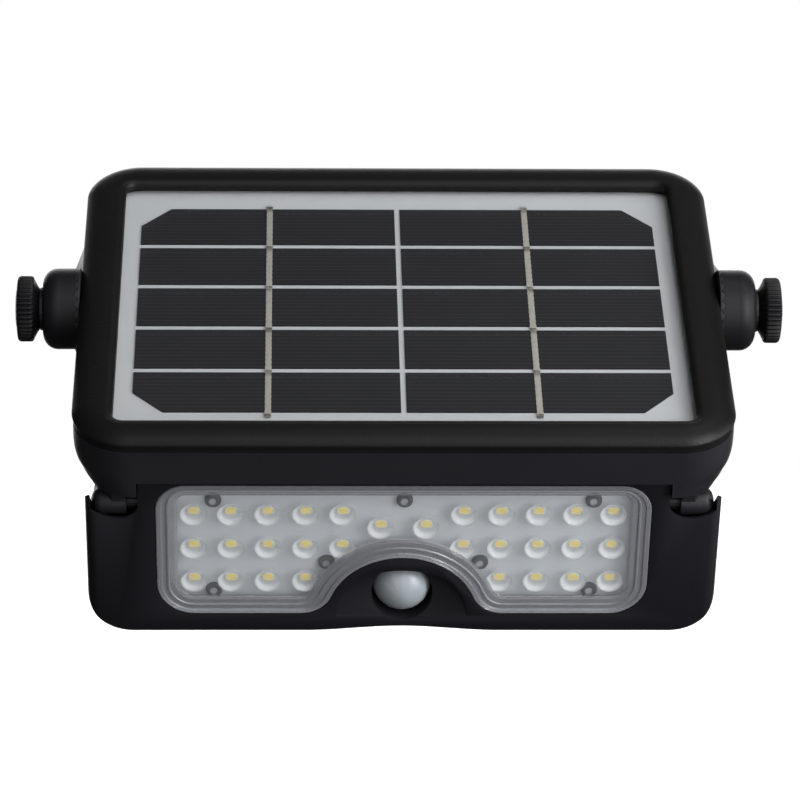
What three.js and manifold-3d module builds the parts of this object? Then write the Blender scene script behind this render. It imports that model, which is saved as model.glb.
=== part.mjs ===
// Wall-mounted solar flood light: a framed solar panel over a folding LED lamp
// with a motion sensor, carried in a toothed yoke bracket with two thumb screws.
// Millimetres. +Z up, -Y is the front, the wall plate's back face is Y = 0, left is -X.
// The head is drawn in its own frame (X right, Y back, Z normal to the solar
// glass, origin at the centre of the cells) and then turned by HEAD_TILT.
import * as THREE from 'three';
import { mergeVertices } from 'three/addons/utils/BufferGeometryUtils.js';
import Module from 'manifold-3d';

const wasm = await Module();
wasm.setup();

// ---------------------------------------------------------------- dimensions
const SIDES = [-1, 1];                  // left, right
const HEAD_TILT = 36 * Math.PI / 180;   // rest tilt of the panel above horizontal
const WALL_HUB_Y = -70;                 // hub axis in front of the wall, at Z = 0
const HUB = { y: 9.6, z: -7.0, r: 11.6, x0: 93.3, x1: 102.2 };  // y, z in the head frame
const TEETH = { count: 24, r0: 8.8, r1: 11.5, fill: 0.62 };

// rounded rectangles about X = 0, with half width x
const BEZEL = { x: 91.3, y0: -65.7, y1: 72.3, r: 16, top: 3.0, seam: -2.0 };
const OPENING = { x: 79.9, y0: -56.4, y1: 61.0, r: 3.2 };
const GLASS = { x: 84.0, y0: -58.4, y1: 63.3, r: 8.7 };
const GLASS_GAP = 0.4;
const CELL = { arrayX: 75, gapX: 1.55, topY: 53.05, pitch: 20.6, h: 18.65, chamfer: 9.0, rows: 5 };
const RIBBON = { x: 37.5, width: 1.7, y0: -50.65, y1: 54.75 };
const SHELL = { y0: -65.6, y1: 67 };
// (z, half width, back y, corner radius) from the underside up
const SHELL_STATIONS = [
  [-15.2, 86.9, 68.0, 14.2], [-14.4, 88.6, 68.8, 14.6], [-13.2, 89.6, 69.4, 14.9],
  [-11.5, 90.4, 70.0, 15.2], [-9.0, 90.8, 70.8, 15.4], [-6.0, 90.9, 71.4, 15.5],
  [-2.3, 90.9, 72.0, 15.6],
];
// (z, half width, corner radius) of the ears that carry the side walls down over the hinges
const EAR_STATIONS = [
  [-21.4, 85.5, 13.0], [-20.0, 86.7, 13.6], [-18.5, 87.6, 14.1],
  [-17.0, 88.4, 14.5], [-15.2, 89.2, 14.8], [-12.2, 90.1, 15.1],
];
// (y, z) side view of an ear
const EAR_SIDE = [
  [-66, -11.5], [-66, -17.4], [-63, -18.2], [-52, -21.3],
  [-49, -21.3], [-43.5, -17.0], [-43.5, -11.5],
];

const HINGE = { y: -58.3, z: -24.0, bore: 2.7 };      // lamp fold axis in the head frame
const ARM = { x0: 77.0, x1: 84.3, half: 3.2, r: 3.8 };
const POCKET = { x0: 73.2, x1: 86.4, z: -28.2 };

const LAMP = {
  x: 87.85, zBot: -66.1, arch: 1.6, archX: 28, r: 12.5,
  yFace: -63.5, ySplit: -49.4, yBack: -33.0, seamGap: 0.15,
};
// (x, z) of the curved lip of a hinge pocket, right side
const POCKET_LIP = [
  [73.2, 0], [73.2, -22.3], [73.6, -23.4], [74.5, -24.7], [76.0, -25.8], [78.0, -26.4],
  [80.1, -26.4], [82.5, -25.8], [84.7, -24.8], [POCKET.x1, -23.8], [POCKET.x1, 0],
];
// (y, z) of the cut that drops the outer wall behind its front tip
const WALL_FALL = [[-64.6, 1], [-64.6, -17.9], [-63.5, -17.9], [-56, -26], [-53, -28.1], [-53, 1]];
const CORNER = { x: 68.9, z: -34, r: 18.4 };          // round corner behind the pocket
const LENS = {
  x: 68.4, zTop: -15.2, zBot: -60.0, rBot: 10.5, rTop: 8.3, arcR: 21.2, arcZ: -61.5, fillet: 9,
};
const LED_X = [16.8, 27.1, 37.5, 47.8, 58.1];
const LED_Z = [-26.1, -37.8, -49.5];
const LED_MID = { x: 6.3, z: -30.8 };
// (x, z)
const BOARD_SCREWS = [
  [-52.6, -20.5], [0, -20.5], [52.6, -20.5], [-52.6, -51.9], [52.6, -51.9],
  [-21.7, -42.1], [21.7, -42.1],
];
const BOARD_HOLE_R = 1.35;
// (x, z, y where the boss starts)
const REAR_SCREWS = [
  [-79.5, -57.0, -61.7], [79.5, -57.0, -61.7], [-62.5, -22.6, -56.4], [62.5, -22.6, -56.4],
];
const DOME = { y: -56.4, z: -53.6, r: 8.3, rInner: 7.4, gap: 0.3 };   // sensor dome
const HOOD = { z: -70.0, r: 25.3 };      // arc of the hood's lip over the dome
const BATTERY = { y: -44.9, z: -29.6, r: 9.1 };
const BUTTON = { x: 55, z: -50 };

const YOKE = { x0: 93.8, x1: 97.8, half: 8.5 };       // outer ribs of the arms
const PLATE = { thick: 3.5, half: 28 };
const KNOB_R = 9.4;
const STUD_R = 2.35;

// (x, y, z) along the centre lines of the two leads
const CABLE_R = 1.0;
const PANEL_CABLE = [
  [-20, 24, -9.5], [-34, 20, -11.2], [-56, 0, -11.6], [-69, -32, -11.2], [-70.5, -42, -8.6],
  [-71, -52, -7.5], [-73, -57.2, -7.5], [-76.5, -58.3, -7.6], [-79.9, -58.3, -8.6],
  [-80.4, -58.3, -11], [-80.4, -58.3, -20.0], [-80.2, -58.3, -22.6], [-79.1, -58.3, -23.8],
  [-77.4, -58.3, -24.0], [-70.7, -58.3, -24.0],
];
const LAMP_CABLE = [
  [-70.5, -58.3, -24.0], [-69.6, -58.1, -24.0], [-69.0, -57.0, -24.1], [-68.95, -55.4, -24.6],
  [-68.9, -53.2, -27], [-66, -50.8, -34], [-58, -48.5, -42], [-50, -47.6, -48],
  [-47.5, -47.5, -50],
];

// ---------------------------------------------------------------- materials
const STEEL = { color: 0xb9bcc0, roughness: 0.3, metalness: 0.9 };
const FINISH = {
  body: { color: 0x222226, roughness: 0.6 },
  bezel: { color: 0x1b1b1d, roughness: 0.55 },
  knob: { color: 0x1b1b1d, roughness: 0.6 },
  glass: { color: 0xcfd8dc, roughness: 0.08, opacity: 0.3 },
  backsheet: { color: 0xd9dcde, roughness: 0.5 },
  cell: { color: 0x16171c, roughness: 0.35, metalness: 0.2 },
  ribbon: { color: 0xa8a69c, roughness: 0.35, metalness: 0.9 },
  panelGasket: { color: 0x2a2a2a, roughness: 0.9 },
  lensGasket: { color: 0x3a3a3a, roughness: 0.9 },
  brass: { color: 0xb08d3e, roughness: 0.3, metalness: 0.9 },
  circuit: { color: 0x2c6b3a, roughness: 0.5 },
  cable: { color: 0x202020, roughness: 0.5 },
  lens: { color: 0xd5dadd, roughness: 0.1, opacity: 0.35 },
  ledBoard: { color: 0xe4e7ea, roughness: 0.45 },
  dome: { color: 0xb9c0c8, roughness: 0.4, opacity: 0.8 },
  can: { color: 0xb8bbbe, roughness: 0.3, metalness: 0.9 },
  battery: { color: 0x3c6fa8, roughness: 0.4 },
  cradle: { color: 0x2a2a2c, roughness: 0.7 },
  rearScrew: { color: 0x6e7073, roughness: 0.4, metalness: 0.9 },
  button: { color: 0x303236, roughness: 0.7 },
  washer: { color: 0x8d8f92, roughness: 0.4, metalness: 0.9 },
};

// ---------------------------------------------------------------- outlines
const range = count => [...Array(count).keys()];
// a span along X given for the right side, mirrored for the left
const span = (side, a, b) => (side > 0 ? [a, b] : [-b, -a]);
const outline = (pairs, side = 1) => pairs.map(([x, y]) => new THREE.Vector2(side * x, y));

// angles in degrees
function arc(cx, cy, r, start, end, steps) {
  return outline(range(steps + 1).map(i => {
    const angle = (start + (end - start) * i / steps) * Math.PI / 180;
    return [cx + r * Math.cos(angle), cy + r * Math.sin(angle)];
  }));
}

// counter-clockwise
function roundedRect(x0, x1, y0, y1, r, steps) {
  return [
    ...arc(x1 - r, y0 + r, r, -90, 0, steps),
    ...arc(x1 - r, y1 - r, r, 0, 90, steps),
    ...arc(x0 + r, y1 - r, r, 90, 180, steps),
    ...arc(x0 + r, y0 + r, r, 180, 270, steps),
  ];
}
const insetRect = ({ x, y0, y1, r }, inset, steps) => roundedRect(
  -(x - inset), x - inset, y0 + inset, y1 - inset, Math.max(r - inset, 0.8), steps);

function circle(cx, cy, r, segments) {
  return outline(range(segments).map(i => {
    const angle = 2 * Math.PI * i / segments;
    return [cx + r * Math.cos(angle), cy + r * Math.sin(angle)];
  }));
}
const lift = (points, z) => points.map(p => new THREE.Vector3(p.x, p.y, z));

// ---------------------------------------------------------------- solids
const basis = (...axes) =>
  new THREE.Matrix4().makeBasis(...axes.map(axis => new THREE.Vector3(...axis)));
// frames that lay an extrusion along an axis
const FRAME = {
  z: new THREE.Matrix4(),
  y: basis([1, 0, 0], [0, 0, 1], [0, -1, 0]),
  x: basis([0, 1, 0], [0, 0, 1], [1, 0, 0]),
};
const STAND = basis([1, 0, 0], [0, 0, -1], [0, 1, 0]);   // (x, -z, y) to (x, y, z)

// welds a geometry and turns it outward if its signed volume is negative
function toSolid(geometry) {
  geometry.deleteAttribute('normal');
  geometry.deleteAttribute('uv');
  const welded = mergeVertices(geometry, 1e-4);
  const positions = welded.attributes.position.array;
  const triangles = new Uint32Array(welded.index.array);
  const corner = i => new THREE.Vector3().fromArray(positions, triangles[i] * 3);
  let volume = 0;
  for (let i = 0; i < triangles.length; i += 3) {
    volume += corner(i).dot(corner(i + 1).cross(corner(i + 2)));
  }
  if (volume < 0) {
    for (let i = 0; i < triangles.length; i += 3) {
      [triangles[i + 1], triangles[i + 2]] = [triangles[i + 2], triangles[i + 1]];
    }
  }
  return new wasm.Manifold(new wasm.Mesh({
    numProp: 3,
    vertProperties: new Float32Array(positions),
    triVerts: triangles,
  }));
}

function toGeometry(solid) {
  const mesh = solid.getMesh();
  const indexed = new THREE.BufferGeometry();
  indexed.setAttribute('position', new THREE.BufferAttribute(mesh.vertProperties, 3));
  indexed.setIndex(new THREE.BufferAttribute(mesh.triVerts, 1));
  const geometry = indexed.toNonIndexed();
  geometry.computeVertexNormals();
  return geometry;
}

// the profile is (x, y), (x, z) or (y, z) for the axis 'z', 'y' or 'x'
function prism(axis, points, from, to, hole) {
  const shape = new THREE.Shape(points);
  if (hole) shape.holes.push(new THREE.Path(hole));
  const geometry = new THREE.ExtrudeGeometry(shape, {
    depth: to - from, bevelEnabled: false, steps: 1, curveSegments: 1,
  });
  geometry.translate(0, 0, axis === 'y' ? -to : from);
  return toSolid(geometry.applyMatrix4(FRAME[axis]));
}
const cylinder = (axis, u, v, r, from, to, segments = 20) =>
  prism(axis, circle(u, v, r, segments), from, to);
const box = (x0, x1, y0, y1, z0, z1) => toSolid(
  new THREE.BoxGeometry(x1 - x0, y1 - y0, z1 - z0)
    .translate((x0 + x1) / 2, (y0 + y1) / 2, (z0 + z1) / 2));
const tubeX = (y, z, rOuter, rInner, [from, to], segments = 16) =>
  cylinder('x', y, z, rOuter, from, to, segments)
    .subtract(cylinder('x', y, z, rInner, from - 1, to + 1, 16));
const join = (...solids) => solids.reduce((a, b) => a.add(b));
const cut = (solid, ...tools) => solids(solid, tools);
const solids = (solid, tools) => tools.reduce((a, b) => a.subtract(b), solid);

// geometry turned about Y from (radius, height) pairs
const lathe = (profile, segments) => new THREE.LatheGeometry(outline(profile), segments);
// the same laid along X, heights pointing outward on the given side
const latheX = (profile, segments, side, y, z) =>
  toSolid(lathe(profile, segments).rotateZ(-side * Math.PI / 2).translate(0, y, z));

// joins loops of equal length in order; a closed skin runs back to the first loop
function skin(loops, isClosed) {
  const count = loops[0].length;
  const faces = [];
  for (let band = 0; band < loops.length - (isClosed ? 0 : 1); band++) {
    const next = (band + 1) % loops.length;
    for (let i = 0; i < count; i++) {
      const j = (i + 1) % count;
      const [a, b, c, d] = [band * count + i, band * count + j, next * count + i, next * count + j];
      faces.push(a, b, d, a, d, c);
    }
  }
  return faces;
}
function indexedGeometry(loops, faces) {
  const geometry = new THREE.BufferGeometry();
  const positions = loops.flat().flatMap(p => [p.x, p.y, p.z]);
  geometry.setAttribute('position', new THREE.Float32BufferAttribute(positions, 3));
  return geometry.setIndex(faces);
}
function loft(loops, frame = FRAME.z) {
  const faces = skin(loops, false);
  const last = (loops.length - 1) * loops[0].length;
  for (const [a, b, c] of THREE.ShapeUtils.triangulateShape(outline(loops[0]), [])) {
    faces.push(a, c, b, last + a, last + b, last + c);
  }
  return toSolid(indexedGeometry(loops, faces).applyMatrix4(frame));
}
// stations are [(x, z) points, y] from the front to the back
const loftY = stations => loft(stations.map(([points, y]) =>
  points.slice().reverse().map(p => new THREE.Vector3(p.x, -p.y, y))), STAND);
// section points (inset, z) carried round a rounded rectangle
function ring(rectangle, section, steps) {
  const loops = section.map(([inset, z]) => lift(insetRect(rectangle, inset, steps), z));
  return toSolid(indexedGeometry(loops, skin(loops, true)));
}
function cable(points, steps) {
  const vectors = points.map(p => new THREE.Vector3(...p));
  const extrudePath = new THREE.CatmullRomCurve3(vectors, false, 'centripetal');
  return toSolid(new THREE.ExtrudeGeometry(new THREE.Shape(circle(0, 0, CABLE_R, 6)), {
    steps, bevelEnabled: false, extrudePath, curveSegments: 1,
  }));
}
// radial teeth about (y, z); shift is in tooth pitches, turn in radians
function teeth(y, z, shift, turn, ends) {
  const half = Math.PI / TEETH.count * TEETH.fill;
  const { r0, r1 } = TEETH;
  return range(TEETH.count).map(i => {
    const angle = 2 * Math.PI * (i + shift) / TEETH.count + turn;
    const corners = [[r0, -half], [r1, -half], [r1, half], [r0, half]].map(([r, offset]) =>
      [y + r * Math.cos(angle + offset), z + r * Math.sin(angle + offset)]);
    return prism('x', outline(corners), ...ends);
  });
}

function addPart(group, name, solid, { metalness = 0, opacity = 1, ...finish }) {
  const material = new THREE.MeshStandardMaterial({
    ...finish, metalness, opacity, transparent: opacity < 1,
  });
  const mesh = new THREE.Mesh(toGeometry(solid), material);
  mesh.name = name;
  group.add(mesh);
}

// ================================================================ solar panel
// top band that falls away to a small lip at the seam, steep inner wall down to the glass
function panelBezel() {
  const { seam, top } = BEZEL;
  const band = ring(BEZEL, [
    [0, seam], [0, 0.25], [0.25, 0.8], [1.2, 1.7], [2.8, 2.5], [5.0, 2.9],
    [7.4, top], [12.6, top], [12.6, 0.15], [7.0, 0.15], [7.0, seam],
  ], 6);
  const flare = [[0, 1.7], [0.5, 2.5], [1.5, 3.02], [1.5, 3.4]];   // (growth, z)
  return cut(band,
    prism('z', insetRect(OPENING, 0, 5), -3, 4),
    loft(flare.map(([grow, z]) => lift(insetRect(OPENING, -grow, 5), z))));
}

// outer corners of the first and last rows are cut off
function solarCell(row, side) {
  const { chamfer } = CELL;
  const y1 = CELL.topY - row * CELL.pitch;
  const y0 = y1 - CELL.h;
  const inner = CELL.gapX / 2;
  const outer = CELL.arrayX;
  const cutX = outer - chamfer * 0.95;
  const lower = row === CELL.rows - 1 ? [[cutX, y0], [outer, y0 + chamfer]] : [[outer, y0]];
  const upper = row === 0 ? [[outer, y1 - chamfer], [cutX, y1]] : [[outer, y1]];
  return prism('z', outline([[inner, y0], ...lower, ...upper, [inner, y1]], side), -1.5, -1.28);
}

function cellRibbon(side) {
  const { x, width, y0, y1 } = RIBBON;
  const [left, right] = [side * x - width / 2, side * x + width / 2];
  return prism('z', outline([[left, y0], [right, y0], [right, y1], [left, y1]]), -1.2, -1.08);
}

function ear(inset, zBottom, zTop) {
  return loft(EAR_STATIONS.map(([z, x, r], i) => {
    const isLast = i === EAR_STATIONS.length - 1;
    const height = i === 0 ? zBottom : isLast ? zTop : z;
    return lift(insetRect({ x, ...SHELL, r }, inset, 7), height);
  }));
}

function addShellSide(shell, side) {
  const reach = (a, b) => span(side, a, b);
  // ear: carries the front wall down and round the corner over the hinge, then rises behind it
  const earWall = ear(0, -21.4, -12.2)
    .subtract(ear(1.9, -22, -11))
    .intersect(prism('x', outline(EAR_SIDE), ...reach(73.5, 91)));
  const hingeClearance = cylinder('x', HINGE.y, HINGE.z, 8.6, ...reach(85.9, 91), 40)
    .intersect(box(...reach(85, 91), -67, -57.2, -40, -5));
  // knuckle arm with its barrel
  const arm = prism('z', roundedRect(-ARM.x1, ARM.x1, SHELL.y0, SHELL.y1, 13.5, 7), HINGE.z, -12.5)
    .intersect(box(...reach(ARM.x0, ARM.x1),
      HINGE.y - ARM.half, HINGE.y + ARM.half, HINGE.z, -12.5));
  const barrel = latheX(
    [[0, 76.4], [ARM.r, 76.4], [ARM.r, 83.6], [3.4, 84.9], [2.3, 85.7], [0, 85.9]],
    24, side, HINGE.y, HINGE.z);
  // side boss that carries the tilt teeth
  const boss = join(
    cylinder('x', HUB.y, HUB.z, HUB.r, ...reach(91.6, 92.3), 36),
    box(...reach(85.5, 92.0), HUB.y - 8, HUB.y + 8, -14.6, -2.5),
    ...teeth(HUB.y, HUB.z, 0, 0, reach(92.2, 92.75)));

  return join(shell, earWall.subtract(hingeClearance), arm, barrel)
    .subtract(cylinder('x', HINGE.y, HINGE.z, HINGE.bore, ...reach(76, 83.2), 18))
    .add(boss)
    .subtract(cylinder('x', HUB.y, HUB.z, 3.6, ...reach(84, 93.5)));
}

function panelShell() {
  let shell = loft(SHELL_STATIONS.map(([z, x, y1, r]) =>
    lift(roundedRect(-x, x, SHELL.y0, y1, r, 6), z)));
  shell = cut(shell,
    // seat of the laminate
    prism('z', insetRect(GLASS, -GLASS_GAP, 5), -3.05, 1),
    // opening inside the gasket ledge
    prism('z', roundedRect(-79.5, 79.5, -54.0, 58.5, 6, 4), -5.1, 1),
    // main cavity under the ledge
    prism('z', roundedRect(-82.6, 82.6, -46.0, 63.0, 8, 4), -13.2, -5.0),
    // shallow cavity over the lamp recess
    prism('z', roundedRect(-76.0, 76.0, -63.4, -45.0, 3, 3), -9.6, -5.0),
    // recess that clears the lamp's top edge through its fold
    box(-76.3, 76.3, -63.7, -49.0, -30, -11.2),
    box(-73.5, 73.5, -66, -63.6, -30, -12.8),
    cylinder('x', HINGE.y, HINGE.z, 14.3, -76.3, 76.3, 40)
      .subtract(box(-80, 80, -90, -52, -60, 0)));
  for (const side of SIDES) shell = addShellSide(shell, side);
  // cable way down the left knuckle arm
  shell = cut(shell,
    cylinder('z', -80.4, HINGE.y, 1.4, HINGE.z, -6, 12),
    box(-81.8, -74, HINGE.y - 1.6, HINGE.y + 1.6, -10.6, -5.4));
  // ribs under the shell
  return join(shell, ...[-60, -30, 30, 60].map(x => box(x - 0.8, x + 0.8, -38, 58, -16, -15)));
}

// board with two raised blocks
const terminalBoard = () => join(
  box(-18, 18, 8, 34, -12.4, -10.8),
  box(-14, -6, 12, 22, -11.0, -8.2),
  box(4, 12, 14, 28, -11.0, -9.0));

// ================================================================ lamp
// (x, z), with an arched bottom edge and rounded lower corners; inset leaves the top where it is
function lampOutline(inset, zTop) {
  const x = LAMP.x - inset;
  const zBot = LAMP.zBot + inset;
  const r = LAMP.r - inset;
  const arch = range(9).map(i => {
    const t = -1 + i / 4;
    return [t * LAMP.archX, zBot + LAMP.arch * (0.5 + 0.5 * Math.cos(Math.PI * t))];
  });
  return outline([
    ...arch,
    ...arc(x - r, zBot + r, r, -90, 0, 6),
    [x, zTop], [-x, zTop],
    ...arc(-x + r, zBot + r, r, 180, 270, 6),
  ]);
}

// (x, z), grown by a margin, with an arch over the sensor
function lensOutline(grow) {
  const { fillet, arcZ } = LENS;
  const x = LENS.x + grow;
  const zBot = LENS.zBot - grow;
  const zTop = LENS.zTop + grow;
  const rBot = LENS.rBot + grow;
  const rTop = LENS.rTop + grow;
  const archR = LENS.arcR - grow;
  const filletZ = zBot + fillet;
  const rise = filletZ - arcZ;
  const filletX = Math.sqrt((archR + fillet) ** 2 - rise * rise);
  const tangent = Math.atan2(rise, filletX) * 180 / Math.PI;
  return [
    ...arc(filletX, filletZ, fillet, -90, -180 + tangent, 4).reverse(),
    ...arc(x - rBot, zBot + rBot, rBot, -90, 0, 4),
    ...arc(x - rTop, zTop - rTop, rTop, 0, 90, 4),
    ...arc(-x + rTop, zTop - rTop, rTop, 90, 180, 4),
    ...arc(-x + rBot, zBot + rBot, rBot, 180, 270, 4),
    ...arc(-filletX, filletZ, fillet, -90, -tangent, 4),
    ...arc(0, arcZ, archR, 180 - tangent, tangent, 14).slice(1, -1),
  ];
}

// (x, z); the bottom row has no innermost LED
const leds = SIDES.flatMap(side => [
  ...LED_Z.flatMap((z, row) => LED_X.slice(row === 2 ? 1 : 0).map(x => [side * x, z])),
  [side * LED_MID.x, LED_MID.z],
]);

const { yFace, ySplit, yBack } = LAMP;
const housingRear = ySplit - LAMP.seamGap;
const coverFront = ySplit + LAMP.seamGap;

// small bevel down the front outer edge
function edgeBevel(side) {
  const { x } = LAMP;
  return prism('z', outline([
    [x + 1, yFace - 1], [x - 2.6, yFace - 1], [x - 2.6, yFace],
    [x - 0.9, yFace + 0.9], [x, yFace + 2.6], [x + 1, yFace + 2.6],
  ], side), -80, -10);
}

function cutHingePocket(housing, side) {
  const reach = (a, b) => span(side, a, b);
  const { x, z, r } = CORNER;
  const cornerOutline = outline([
    [POCKET.x0, 1], [POCKET.x0, z + Math.sqrt(r ** 2 - (POCKET.x0 - x) ** 2)],
    ...arc(x, z, r, 75, 0, 6).slice(1),
    [89, z], [89, 1],
  ], side);
  return cut(housing,
    box(...reach(POCKET.x0, POCKET.x1), -62.4, -53.2, POCKET.z, 0),
    prism('y', outline(POCKET_LIP, side), yFace - 1, -62.3),
    prism('x', outline(WALL_FALL), ...reach(POCKET.x1 - 0.2, 89)),
    prism('y', cornerOutline, -53.25, ySplit + 1),
    cylinder('x', HINGE.y, HINGE.z, HINGE.bore, ...reach(70.3, 74), 18));
}

// a hood whose lip covers the dome's top, a shallow floor that leans back under it
function cutSensorBay(housing) {
  const hood = cylinder('y', 0, HOOD.z, HOOD.r, -80, -50, 96);
  const bayR = DOME.r + DOME.gap;
  const floor = outline([[-75, -61], [-63.4, -61], [-61.2, -48], [-61.2, -40], [-75, -40]]);
  const bowl = range(6).map(i => {
    const angle = i * Math.PI / 10;
    return [bayR * Math.sin(angle), -bayR * Math.cos(angle)];
  });
  return cut(housing,
    prism('x', floor, -20, 20)
      .intersect(cylinder('y', 0, LENS.arcZ, 18.5, -80, -50, 48))
      .intersect(hood),
    cylinder('y', 0, DOME.z, bayR, -80, -50, 32).intersect(hood),
    cylinder('y', 0, DOME.z, bayR, DOME.y, -50, 32),
    toSolid(lathe([...bowl, [bayR, 1], [0, 1]], 32)).translate(0, DOME.y, DOME.z));
}

// front housing: face, tub for the light engine, hinge pockets at the top corners
function lampHousing() {
  let housing = prism('y', lampOutline(0, -17.9), yFace, housingRear);
  housing = housing.add(box(-POCKET.x0, POCKET.x0, yFace, housingRear, -34, -13.0));
  housing = cut(housing,
    edgeBevel(1),
    edgeBevel(-1),
    prism('y', lampOutline(2.2, -30.4), -61.6, ySplit + 1),
    box(-70.8, 70.8, -61.6, ySplit + 1, -32, -15.0));
  // lens surround and the sensor's half disc, then the lens seat and window
  housing = join(housing,
    prism('y', lensOutline(1.4), yFace, -56.2),
    prism('y', arc(0, LENS.arcZ, 20.2, -2, 182, 20), yFace, -53.0));
  housing = cut(housing,
    prism('y', lensOutline(0.3), yFace - 1, -61.4),
    prism('y', lensOutline(-3.0), yFace - 1, -57.8));
  for (const side of SIDES) housing = cutHingePocket(housing, side);
  // cable notch in the tub wall
  housing = housing.subtract(box(-71.0, -67.4, -59.9, -54.5, -25.6, -22.4));
  for (const [x, z] of BOARD_SCREWS) {
    housing = housing
      .add(cylinder('y', x, z, 2.6, -56.5, -54.4, 12))
      .subtract(cylinder('y', x, z, BOARD_HOLE_R, -59, -54.9, 10));
  }
  for (const [x, z, y0] of REAR_SCREWS) {
    housing = housing
      .add(cylinder('y', x, z, 3.0, y0, housingRear, 14))
      .subtract(cylinder('y', x, z, 1.5, Math.max(y0 + 0.6, -59.5), ySplit + 1, 10));
  }
  return cutSensorBay(housing);
}

// clear cover: raised border and one faceted dome over every LED
function lensCover() {
  const dome = [[0, -0.2], [3.75, -0.2], [3.0, 1.0], [0, 1.0]];
  return join(
    prism('y', lensOutline(0), -63.4, -62.2),
    prism('y', lensOutline(-1.5), -63.6, -63.2, lensOutline(-5.8)),
    ...leds.map(([x, z]) => toSolid(lathe(dome, 6).translate(x, -62.1, z))));
}

function ledBoard() {
  const board = cut(prism('y', lensOutline(-3.5), -59.5, -58.0),
    ...BOARD_SCREWS.map(([x, z]) => cylinder('y', x, z, BOARD_HOLE_R, -60, -57, 10)));
  return join(board,
    ...leds.map(([x, z]) => box(x - 1.75, x + 1.75, -60.3, -59.4, z - 1.4, z + 1.4)));
}

const boardScrew = ([x, z]) => join(
  cylinder('y', x, z, 2.2, -60.8, -59.65, 12),
  cylinder('y', x, z, 1.05, -60, -55.6, 8));

function sensorDome() {
  const wall = r => range(5).map(i => {
    const angle = i * 21.75 * Math.PI / 180;
    return [r * Math.sin(angle), -r * Math.cos(angle)];
  });
  const { r, rInner } = DOME;
  const profile = [...wall(r), [r, 2.6], [rInner, 2.6], ...wall(rInner).reverse()];
  return toSolid(lathe(profile, 16)).translate(0, DOME.y, DOME.z);
}

const sensorCan = () => toSolid(lathe([
  [0, -57.6], [4.1, -57.6], [4.1, -54.0], [4.6, -54.0],
  [4.6, -53.2], [1.6, -53.2], [1.6, -51.0], [0, -51.0],
], 16)).translate(0, 0, DOME.z);

// board with the mode switch, the cable socket and two further blocks
const controlBoard = () => join(
  box(-46, 62, -50.8, -49.2, -61.0, -39.4),
  box(51, 59, -49.4, -44.0, -54, -46),
  box(-44, -34, -56.0, -50.5, -56, -47),
  box(-24, -10, -49.4, -46.6, -58, -44),
  box(12, 26, -49.4, -47.2, -58, -46));

// lies along X with its stepped end at the right
const batteryCell = () => toSolid(lathe([
  [0, -32.5], [BATTERY.r, -32.5], [BATTERY.r, 31.0], [4.0, 31.0], [4.0, 32.5], [0, 32.5],
], 24).rotateZ(-Math.PI / 2)).translate(0, BATTERY.y, BATTERY.z);

// trough behind the cell with a plate at each end
const batteryCradle = () => join(
  cylinder('x', BATTERY.y, BATTERY.z, 10.4, -34.6, 34.6, 28)
    .subtract(cylinder('x', BATTERY.y, BATTERY.z, 9.45, -33.2, 33.2, 28))
    .intersect(box(-40, 40, -42.0, -35.6, -60, 0)),
  box(-34.6, -33.4, -50, -36, -36, -22),
  box(33.4, 34.6, -50, -36, -36, -22));

// (x, z) of the rear cover, with its own radii at the bottom and the top
const coverOutline = (x, zBot, zTop, rBot, rTop = 18) => [
  ...arc(x - rBot, zBot + rBot, rBot, -90, 0, 6),
  ...arc(x - rTop, zTop - rTop, rTop, 0, 90, 6),
  ...arc(-x + rTop, zTop - rTop, rTop, 90, 180, 6),
  ...arc(-x + rBot, zBot + rBot, rBot, 180, 270, 6),
];

function rearCover() {
  const outside = loftY([
    [coverOutline(86.9, -65.0, -16.0, 12.1), coverFront],
    [coverOutline(86.0, -64.1, -16.6, 11.4), yBack - 2.0],
    [coverOutline(84.0, -62.1, -18.6, 9.4), yBack],
  ]);
  const cavity = loftY([
    [coverOutline(84.7, -62.8, -18.2, 9.9, 15.8), ySplit - 1],
    [coverOutline(83.6, -61.7, -19.0, 9.0, 15.6), yBack - 2.0],
  ]);
  // keeps the screw bosses inside the outer wall
  const bossLimit = loftY([
    [coverOutline(86.5, -64.6, -16.4, 12), ySplit],
    [coverOutline(85.0, -63.1, -17.6, 10.4), yBack - 0.5],
  ]);
  let cover = outside.subtract(cavity);
  for (const [x, z] of REAR_SCREWS) {
    cover = cover
      .add(cylinder('y', x, z, 3.4, coverFront, yBack - 1.5, 14).intersect(bossLimit))
      .subtract(join(
        cylinder('y', x, z, 1.5, ySplit - 1, yBack + 1, 10),
        cylinder('y', x, z, 2.9, -37.2, yBack + 1, 14)));
  }
  // button hole and a row of nine shallow grooves
  return cut(cover,
    cylinder('y', BUTTON.x, BUTTON.z, 4.3, yBack - 4, yBack + 1),
    ...range(9).map(i => -40 + i * 10)
      .map(x => box(x - 1, x + 1, yBack - 0.8, yBack + 1, -38, -24)));
}

const rearScrew = ([x, z]) => join(
  cylinder('y', x, z, 2.6, -37.0, -35.2, 12),
  cylinder('y', x, z, 1.2, -55.2, -36.5, 8));

// cap, flange and plunger
const modeButton = () => join(
  cylinder('y', BUTTON.x, BUTTON.z, 4.0, -35.4, -32.4),
  cylinder('y', BUTTON.x, BUTTON.z, 5.2, -36.4, -35.3),
  cylinder('y', BUTTON.x, BUTTON.z, 1.5, -42.6, -36.0, 10));

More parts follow.
